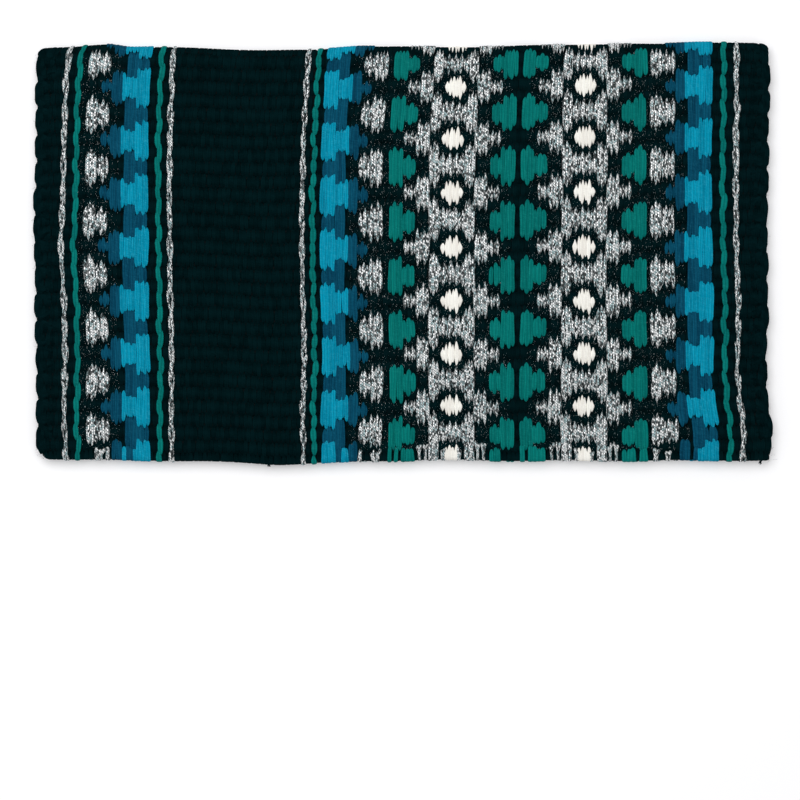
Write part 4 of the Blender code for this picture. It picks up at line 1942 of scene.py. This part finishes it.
@dataclass
class EndFinish:
    """The woven end of one half: the last weft cord, and the motif yarns stitched round it."""

    weaver: Weaver
    pattern: Pattern
    section: Section
    tufts: tuple[tuple[float, float], ...] = ((-0.1575, 0.0020), (0.4188, 0.0042))
    tuft_spread: tuple[float, ...] = (-0.0011, 0.0001, 0.0012)
    tuft_shares: tuple[float, ...] = (0.7, 1.0, 0.8)
    tuft_root: float = 0.0030
    tuft_half_width: float = 0.0009
    core_inset: float = 0.0085
    core_gap: float = 0.0013
    core_rings: int = 61
    petrol_sunk: float = 0.0006
    patch_fullness: float = 0.62
    begin_spread: float = 0.07
    lean_spread: float = 0.0006
    goal_spread: float = 0.0008
    tail_spread: float = 0.0010
    late: tuple[float, float] = (-0.10, 0.34)
    meet_share: float = 0.46
    draw_share: float = 0.40
    apart: float = 0.62
    thread_dive: float = 0.0018
    dive_share: float = 0.12
    root_fullness: float = 0.55
    root_share: float = 0.10
    flatness: float = 0.62
    most_high: float = 0.0012
    thread_rings: int = 18
    thread_sizes: dict[Ending, float] = field(
        default_factory=lambda: {Ending.FORK: 0.0010, Ending.PAIR: 0.0015}
    )

    def build(self) -> None:
        """Builds the core of the edge, the yarn ends and, above, the tufts."""
        self.build_core()
        self.build_ends()
        if self.section is Section.UPPER:
            self.build_tufts()

    def build_tufts(self) -> None:
        """Builds the few black yarn ends that stick out past the woven end, in small tufts."""
        weaver, sizes = self.weaver, self.weaver.sizes
        x, reach = (np.repeat(part, len(self.tuft_spread))[:, None] for part in zip(*self.tufts))
        spread = np.tile(self.tuft_spread, len(self.tufts))[:, None]
        reach = reach * np.tile(self.tuft_shares, len(self.tufts))[:, None]
        t = np.linspace(0.0, 1.0, 6)[None, :]
        y = sizes.front + self.tuft_root - (self.tuft_root + reach) * t
        z = sizes.axis_z + sizes.middle + 0.0010 - 0.0020 * t**2
        centre = np.stack([x + spread * (0.4 + t**2), y, np.broadcast_to(z, y.shape)], axis=-1)
        wide = np.broadcast_to(self.tuft_half_width * (1.0 - 0.6 * t**2), y.shape)
        tubes = Tubes(centre, wide, wide, ACROSS, np.full(len(y), 0.4), 6)
        weaver.finish(f"{self.section.word}_end_tufts", [tubes], Yarn.BLACK, self.section)

    def build_core(self) -> None:
        """Builds the last weft cord, which fills the turned edge."""
        weaver, sizes = self.weaver, self.weaver.sizes
        reach = sizes.width / 2 - self.core_inset
        x = np.linspace(-reach, reach, self.core_rings)
        s = np.full_like(x, self.section.way * sizes.turn)
        centre = weaver.cloth.lay(x, s, np.full_like(x, sizes.middle))[None]
        wide = np.full((1, self.core_rings), sizes.turn_radius - self.core_gap)
        tubes = Tubes(centre, wide, wide, ALONG, np.array([0.4]), 10)
        weaver.finish(f"{self.section.word}_end_core", [tubes], Yarn.BLACK, self.section)

    def build_ends(self) -> None:
        """Lays the yarns that pass over the last cord, each step in its own way of ending."""
        found: dict[Yarn, list[Tubes]] = {}
        ways = {Ending.PATCH: self.patch, Ending.PAIR: self.threads, Ending.FORK: self.threads}
        for column in self.pattern.columns:
            for step in column.steps:
                if step.ending in ways:
                    tubes = ways[step.ending](column, step)
                    found.setdefault(column.yarn, []).append(tubes)
        for yarn, tubes in found.items():
            name = f"{self.section.word}_end_{yarn.name.lower()}_yarns"
            self.weaver.finish(name, tubes, yarn, self.section)

    def patch(self, column: Column, step: Step) -> Tubes:
        """Lays a share of a step's yarns from its begin over the edge."""
        weaver, sizes, chance = self.weaver, self.weaver.sizes, self.weaver.chance
        x, pitch = spread_across(step.left, step.right, column.pitch)
        x = x[chance.random(len(x)) < step.share]
        start = step.begin + chance.normal(0.0, self.begin_spread, len(x))
        ends = self.section.way * np.stack([start, np.full(len(x), sizes.wrap)])
        lean = chance.normal(0.0, self.lean_spread, len(x))
        runs = Runs.of(x, ends.min(axis=0), ends.max(axis=0), pitch * self.patch_fullness, lean)
        level = sizes.float_top - self.petrol_sunk * (column.yarn is Yarn.PETROL)
        return weaver.tubes(runs, Face.OUTER, FLOATS["patch"], level, sizes.float_dip)

    def threads(self, column: Column, step: Step) -> Tubes:
        """Lays a step's yarns in pairs that run together to one thread over the edge.

        The two yarns of a pair lean towards each other over the first part of their run, where
        they also draw thinner, and then lie side by side.
        """
        weaver, sizes, chance = self.weaver, self.weaver.sizes, self.weaver.chance
        x, pitch = spread_across(step.left, step.right, column.pitch)
        if len(x) % 2:
            x = np.append(x, x[-1])
        pairs = x.reshape(-1, 2)
        kept = chance.random(len(pairs)) < step.share
        pairs = pairs[kept] if kept.any() else pairs[:1]
        goal = chance.normal(0.0, self.goal_spread, (len(pairs), 1))
        goal = pairs.mean(axis=1, keepdims=True) + goal
        begin, goal = pairs.reshape(-1, 1), np.repeat(goal, 2, axis=0)
        count = len(begin)
        thin = self.thread_sizes[step.ending]
        t = np.linspace(0.0, 1.0, self.thread_rings)[None, :]
        late = step.begin + self.late[0] + self.late[1] * chance.random((count, 1))
        s = late + (sizes.wrap - late) * t
        meet = smooth_step(t / self.meet_share)
        tail = chance.normal(0.0, self.tail_spread, (count // 2, 1)).repeat(2, axis=0)
        off = np.where(np.arange(count)[:, None] % 2 == 0, -self.apart, self.apart) * thin
        off = off * np.sign(pairs[0, 1] - pairs[0, 0] + 1e-9)
        x = begin + (goal - begin) * meet + tail * t**2 + off * meet
        sunk = self.thread_dive * np.clip(1 - t / self.dive_share, 0.0, 1.0) ** weaver.dive_power
        level = np.broadcast_to(sizes.crest - sunk, s.shape)
        centre = weaver.cloth.lay(x, self.section.way * s, level)
        full = self.root_fullness * pitch * np.sqrt(np.clip(t / self.root_share, 0.02, 1.0))
        wide = full + (thin - full) * smooth_step(t / self.draw_share)
        wide = np.broadcast_to(wide, s.shape)
        high = np.minimum(wide * self.flatness, self.most_high)
        return Tubes(centre, wide, high, ACROSS, chance.random(count), 8)


@dataclass
class LooseEnds:
    """What works loose: silver flecks in the black and stray wool fibres."""

    weaver: Weaver
    pattern: Pattern
    flecks: tuple[tuple[Section, int], ...] = ((Section.UPPER, 19000), (Section.LOWER, 5000))
    fibres: int = 900
    fleck_reach: float = 0.012
    fleck_part: float = 0.06
    fleck_shape: FloatShape = FloatShape(3, 3, 0.05, 0.3, 0.00025, 0.0)
    fleck_lift: float = 0.0001
    fleck_dip: float = 0.0022
    fleck_start: float = 0.7
    fleck_short: float = 0.4
    fleck_reaches: tuple[float, float] = (0.018, 0.045)
    fleck_widths: tuple[float, float] = (0.00015, 0.00038)
    fleck_lean: float = 0.004
    fibre_turn: float = 2.2
    fibre_lengths: tuple[float, float] = (0.002, 0.004)
    fibre_rise: float = 0.0006
    rim_band: tuple[float, float] = (0.0015, 0.0035)
    rim_share: float = 0.30
    rim_level: float = 0.0058
    fibre_rings: int = 6
    fibre_half_width: float = 0.00010

    def build(self) -> None:
        """Builds flecks and fibres on both outer faces."""
        for section, count in self.flecks:
            self.build_flecks(section, count)
            self.build_fibres(section)

    def build_flecks(self, section: Section, count: int) -> None:
        """Scatters short glints of silver yarn where it dips behind the black beside it."""
        weaver, sizes, chance = self.weaver, self.weaver.sizes, self.weaver.chance
        bands = [
            [place for step in column.steps for place in (step.left, step.right)]
            for column in self.pattern.columns
            if column.yarn is Yarn.SILVER
        ]
        left, right = (np.array([pick(places) for places in bands]) for pick in (min, max))
        share = right - left + 2 * self.fleck_reach
        chosen = chance.choice(len(bands), count, p=share / share.sum())
        low, high = left[chosen] - self.fleck_reach, right[chosen] + self.fleck_reach
        x = low + (high - low) * chance.random(count)
        s = self.fleck_start + (sizes.ribs - self.fleck_short) * chance.random(count)
        s = section.way * s
        free = ~self.pattern.hidden(x, s)
        x, s = x[free], s[free]
        reach, wide = (
            least + more * chance.random(len(x)) ** 2
            for least, more in (self.fleck_reaches, self.fleck_widths)
        )
        lean = chance.normal(0.0, self.fleck_lean, len(x))
        runs = Runs.of(x, s - reach, s + reach, wide, lean)
        level = (self.fleck_shape, sizes.crest + self.fleck_lift, self.fleck_dip)
        for number, part in enumerate((x < self.fleck_part, x >= self.fleck_part), 1):
            tubes = weaver.tubes(runs.pick(part), Face.OUTER, *level)
            weaver.finish(f"{section.word}_silver_flecks_{number}", [tubes], Yarn.SILVER, section)

    def build_fibres(self, section: Section) -> None:
        """Scatters fine curved wool fibres over the black and along the edges.

        Each is a flat arc: the middle line turns at a steady rate and rises and falls once.
        """
        weaver, sizes, chance = self.weaver, self.weaver.sizes, self.weaver.chance
        count = self.fibres
        x = (chance.random(count) - 0.5) * (sizes.width - 0.006)
        y = sizes.front + 0.001 + chance.random(count) * (sizes.field_start - sizes.front + 0.004)
        rim = chance.random(count) < self.rim_share
        inset, band = self.rim_band
        x[rim] = np.sign(x[rim]) * (sizes.width / 2 - inset - band * chance.random(rim.sum()))
        heading = chance.random(count) * math.tau
        turn = chance.normal(0.0, self.fibre_turn, count)
        length = self.fibre_lengths[0] + self.fibre_lengths[1] * chance.random(count)
        t = np.linspace(0.0, 1.0, self.fibre_rings)[None, :]
        angle = heading[:, None] + turn[:, None] * t
        step = length[:, None] / (self.fibre_rings - 1)
        px = x[:, None] + np.cumsum(np.cos(angle) * step, axis=1)
        py = y[:, None] + np.cumsum(np.sin(angle) * step, axis=1)
        level = np.where(rim, self.rim_level, sizes.crest)[:, None]
        level = level + self.fibre_rise * np.sin(t * math.pi)
        pz = sizes.axis_z + section.way * level
        centre = np.stack([px, py, np.broadcast_to(pz, px.shape)], axis=-1)
        wide = np.full(px.shape, self.fibre_half_width)
        side = np.stack([-np.sin(angle), np.cos(angle), np.zeros_like(angle)], axis=-1)
        tubes = Tubes(centre, wide, wide, side, chance.random(count), 3)
        weaver.finish(f"{section.word}_stray_fibres", [tubes], Yarn.BLACK, section)


@dataclass
class FoldEnds:
    """The two ends of the fold, where weft cords turn round the fold's own edge."""

    weaver: Weaver
    insets: tuple[tuple[float, float], ...] = ((0.0052, 0.0040), (0.0130, 0.0044))
    half_width: float = 0.0044
    half_height: float = 0.0038
    reach: float = 0.86
    rings: int = 14

    def build(self) -> None:
        """Builds short plied cords round the fold at each side, in its two quarters."""
        weaver, sizes = self.weaver, self.weaver.sizes
        cords = PliedCord(weaver, self.half_width, self.half_height)
        for section in (Section.FOLD_UPPER, Section.FOLD_LOWER):
            s = (section.way * np.linspace(0.0, self.reach, self.rings))[:: section.way]
            lines = []
            for side in (-1, 1):
                for inset, radius in self.insets:
                    x = np.full_like(s, side * (sizes.width / 2 - inset))
                    lines.append(weaver.cloth.lay(x, s, np.full_like(s, radius)))
            centre = np.stack(lines)
            up = np.cross(unit(np.gradient(centre, axis=1)), ACROSS)
            cords.build(f"{section.word}_end_cords", centre, up, section)


# Studio


@dataclass
class Studio:
    """A white floor, even soft light and a camera that looks straight down."""

    view_width: float = 0.9448
    view_centre: tuple[float, float] = (-0.0018, -0.1723)
    distance: float = 4.0
    top: float = 0.0165
    floor_reach: float = 6.0
    floor_level: float = -0.0002
    floor_colour: tuple[float, ...] = (0.86, 0.86, 0.875, 1.0)
    floor_glow: float = 0.20
    sky_strength: float = 0.62
    lamp_place: tuple[float, float, float] = (-0.5, 0.9, 2.6)
    lamp_size: float = 2.2
    lamp_energy: float = 42.0
    sensor: float = 36.0

    def build(self) -> None:
        """Builds the floor, the lights and the camera."""
        self.build_floor()
        self.build_light()
        self.build_camera()

    def build_floor(self) -> None:
        """Builds the floor, which is white to the camera and keeps the blanket's shadow."""
        corners = np.array([(-1, -1, 0), (1, -1, 0), (1, 1, 0), (-1, 1, 0)])
        points = self.floor_reach * corners + self.floor_level * UP
        floor = Skin(points, np.array([[0, 1, 2, 3]])).piece("floor")
        board = Board("floor_white")
        board.dress(
            {"Base Color": self.floor_colour, "Roughness": 0.9, "Specular IOR Level": 0.0}
        )
        rays = board.node("ShaderNodeLightPath", {}, {}).outputs
        names = ("Is Camera Ray", "Is Glossy Ray", "Is Transmission Ray")
        strength = reduce(Value.larger, (Value(board, rays[name]) for name in names))
        glow = board.node("ShaderNodeEmission", {}, {"Strength": strength * self.floor_glow})
        sockets = {0: board.shader.outputs[0], 1: glow.outputs[0]}
        both = board.node("ShaderNodeAddShader", {}, sockets)
        board.feed(board.output.inputs["Surface"], both.outputs[0])
        floor.data.materials.append(board.material)

    def build_light(self) -> None:
        """Sets an even white sky and one large soft lamp above and behind the blanket."""
        world = bpy.data.worlds.new("soft_sky")
        bpy.context.scene.world = world
        world.use_nodes = True
        background = world.node_tree.nodes["Background"]
        background.inputs["Color"].default_value = (1.0, 1.0, 1.0, 1.0)
        background.inputs["Strength"].default_value = self.sky_strength
        lamp = bpy.data.lights.new("soft_box", "AREA")
        lamp.shape = "SQUARE"
        lamp.size = self.lamp_size
        lamp.energy = self.lamp_energy
        holder = bpy.data.objects.new("soft_box", lamp)
        x, y, z = holder.location = self.lamp_place
        holder.rotation_euler = (math.atan2(-y, z), math.atan2(x, z), 0.0)
        bpy.context.scene.collection.objects.link(holder)

    def build_camera(self) -> None:
        """Sets the camera over the middle of the picture, looking straight down.

        The width of the view is true at the height of the blanket's top.
        """
        data = bpy.data.cameras.new("camera")
        data.sensor_fit = "HORIZONTAL"
        data.sensor_width = self.sensor
        data.lens = self.sensor * self.distance / self.view_width
        data.clip_end = 50.0
        camera = bpy.data.objects.new("camera", data)
        camera.location = (*self.view_centre, self.distance + self.top)
        scene = bpy.context.scene
        scene.collection.objects.link(camera)
        scene.camera = camera
        scene.view_settings.view_transform = "Standard"


def main() -> None:
    logging.basicConfig(level=logging.INFO, format="%(message)s")
    sizes = sizes_from_frame()
    log.info("cloth: %s", sizes)
    cloth = Cloth(sizes)
    weaver = Weaver(cloth, Wardrobe())
    pattern = Pattern(sizes)
    for section in Section:
        GroundSheet(weaver, section).build()
    BlackGrain(weaver, pattern).build()
    ColouredFloats(weaver, pattern).build()
    for section in HALVES:
        for side in (-1, 1):
            Selvedge(weaver, section, side).build()
        EndFinish(weaver, pattern, section).build()
    FoldEnds(weaver).build()
    LooseEnds(weaver, pattern).build()
    Studio().build()


if __name__ == "__main__":
    main()
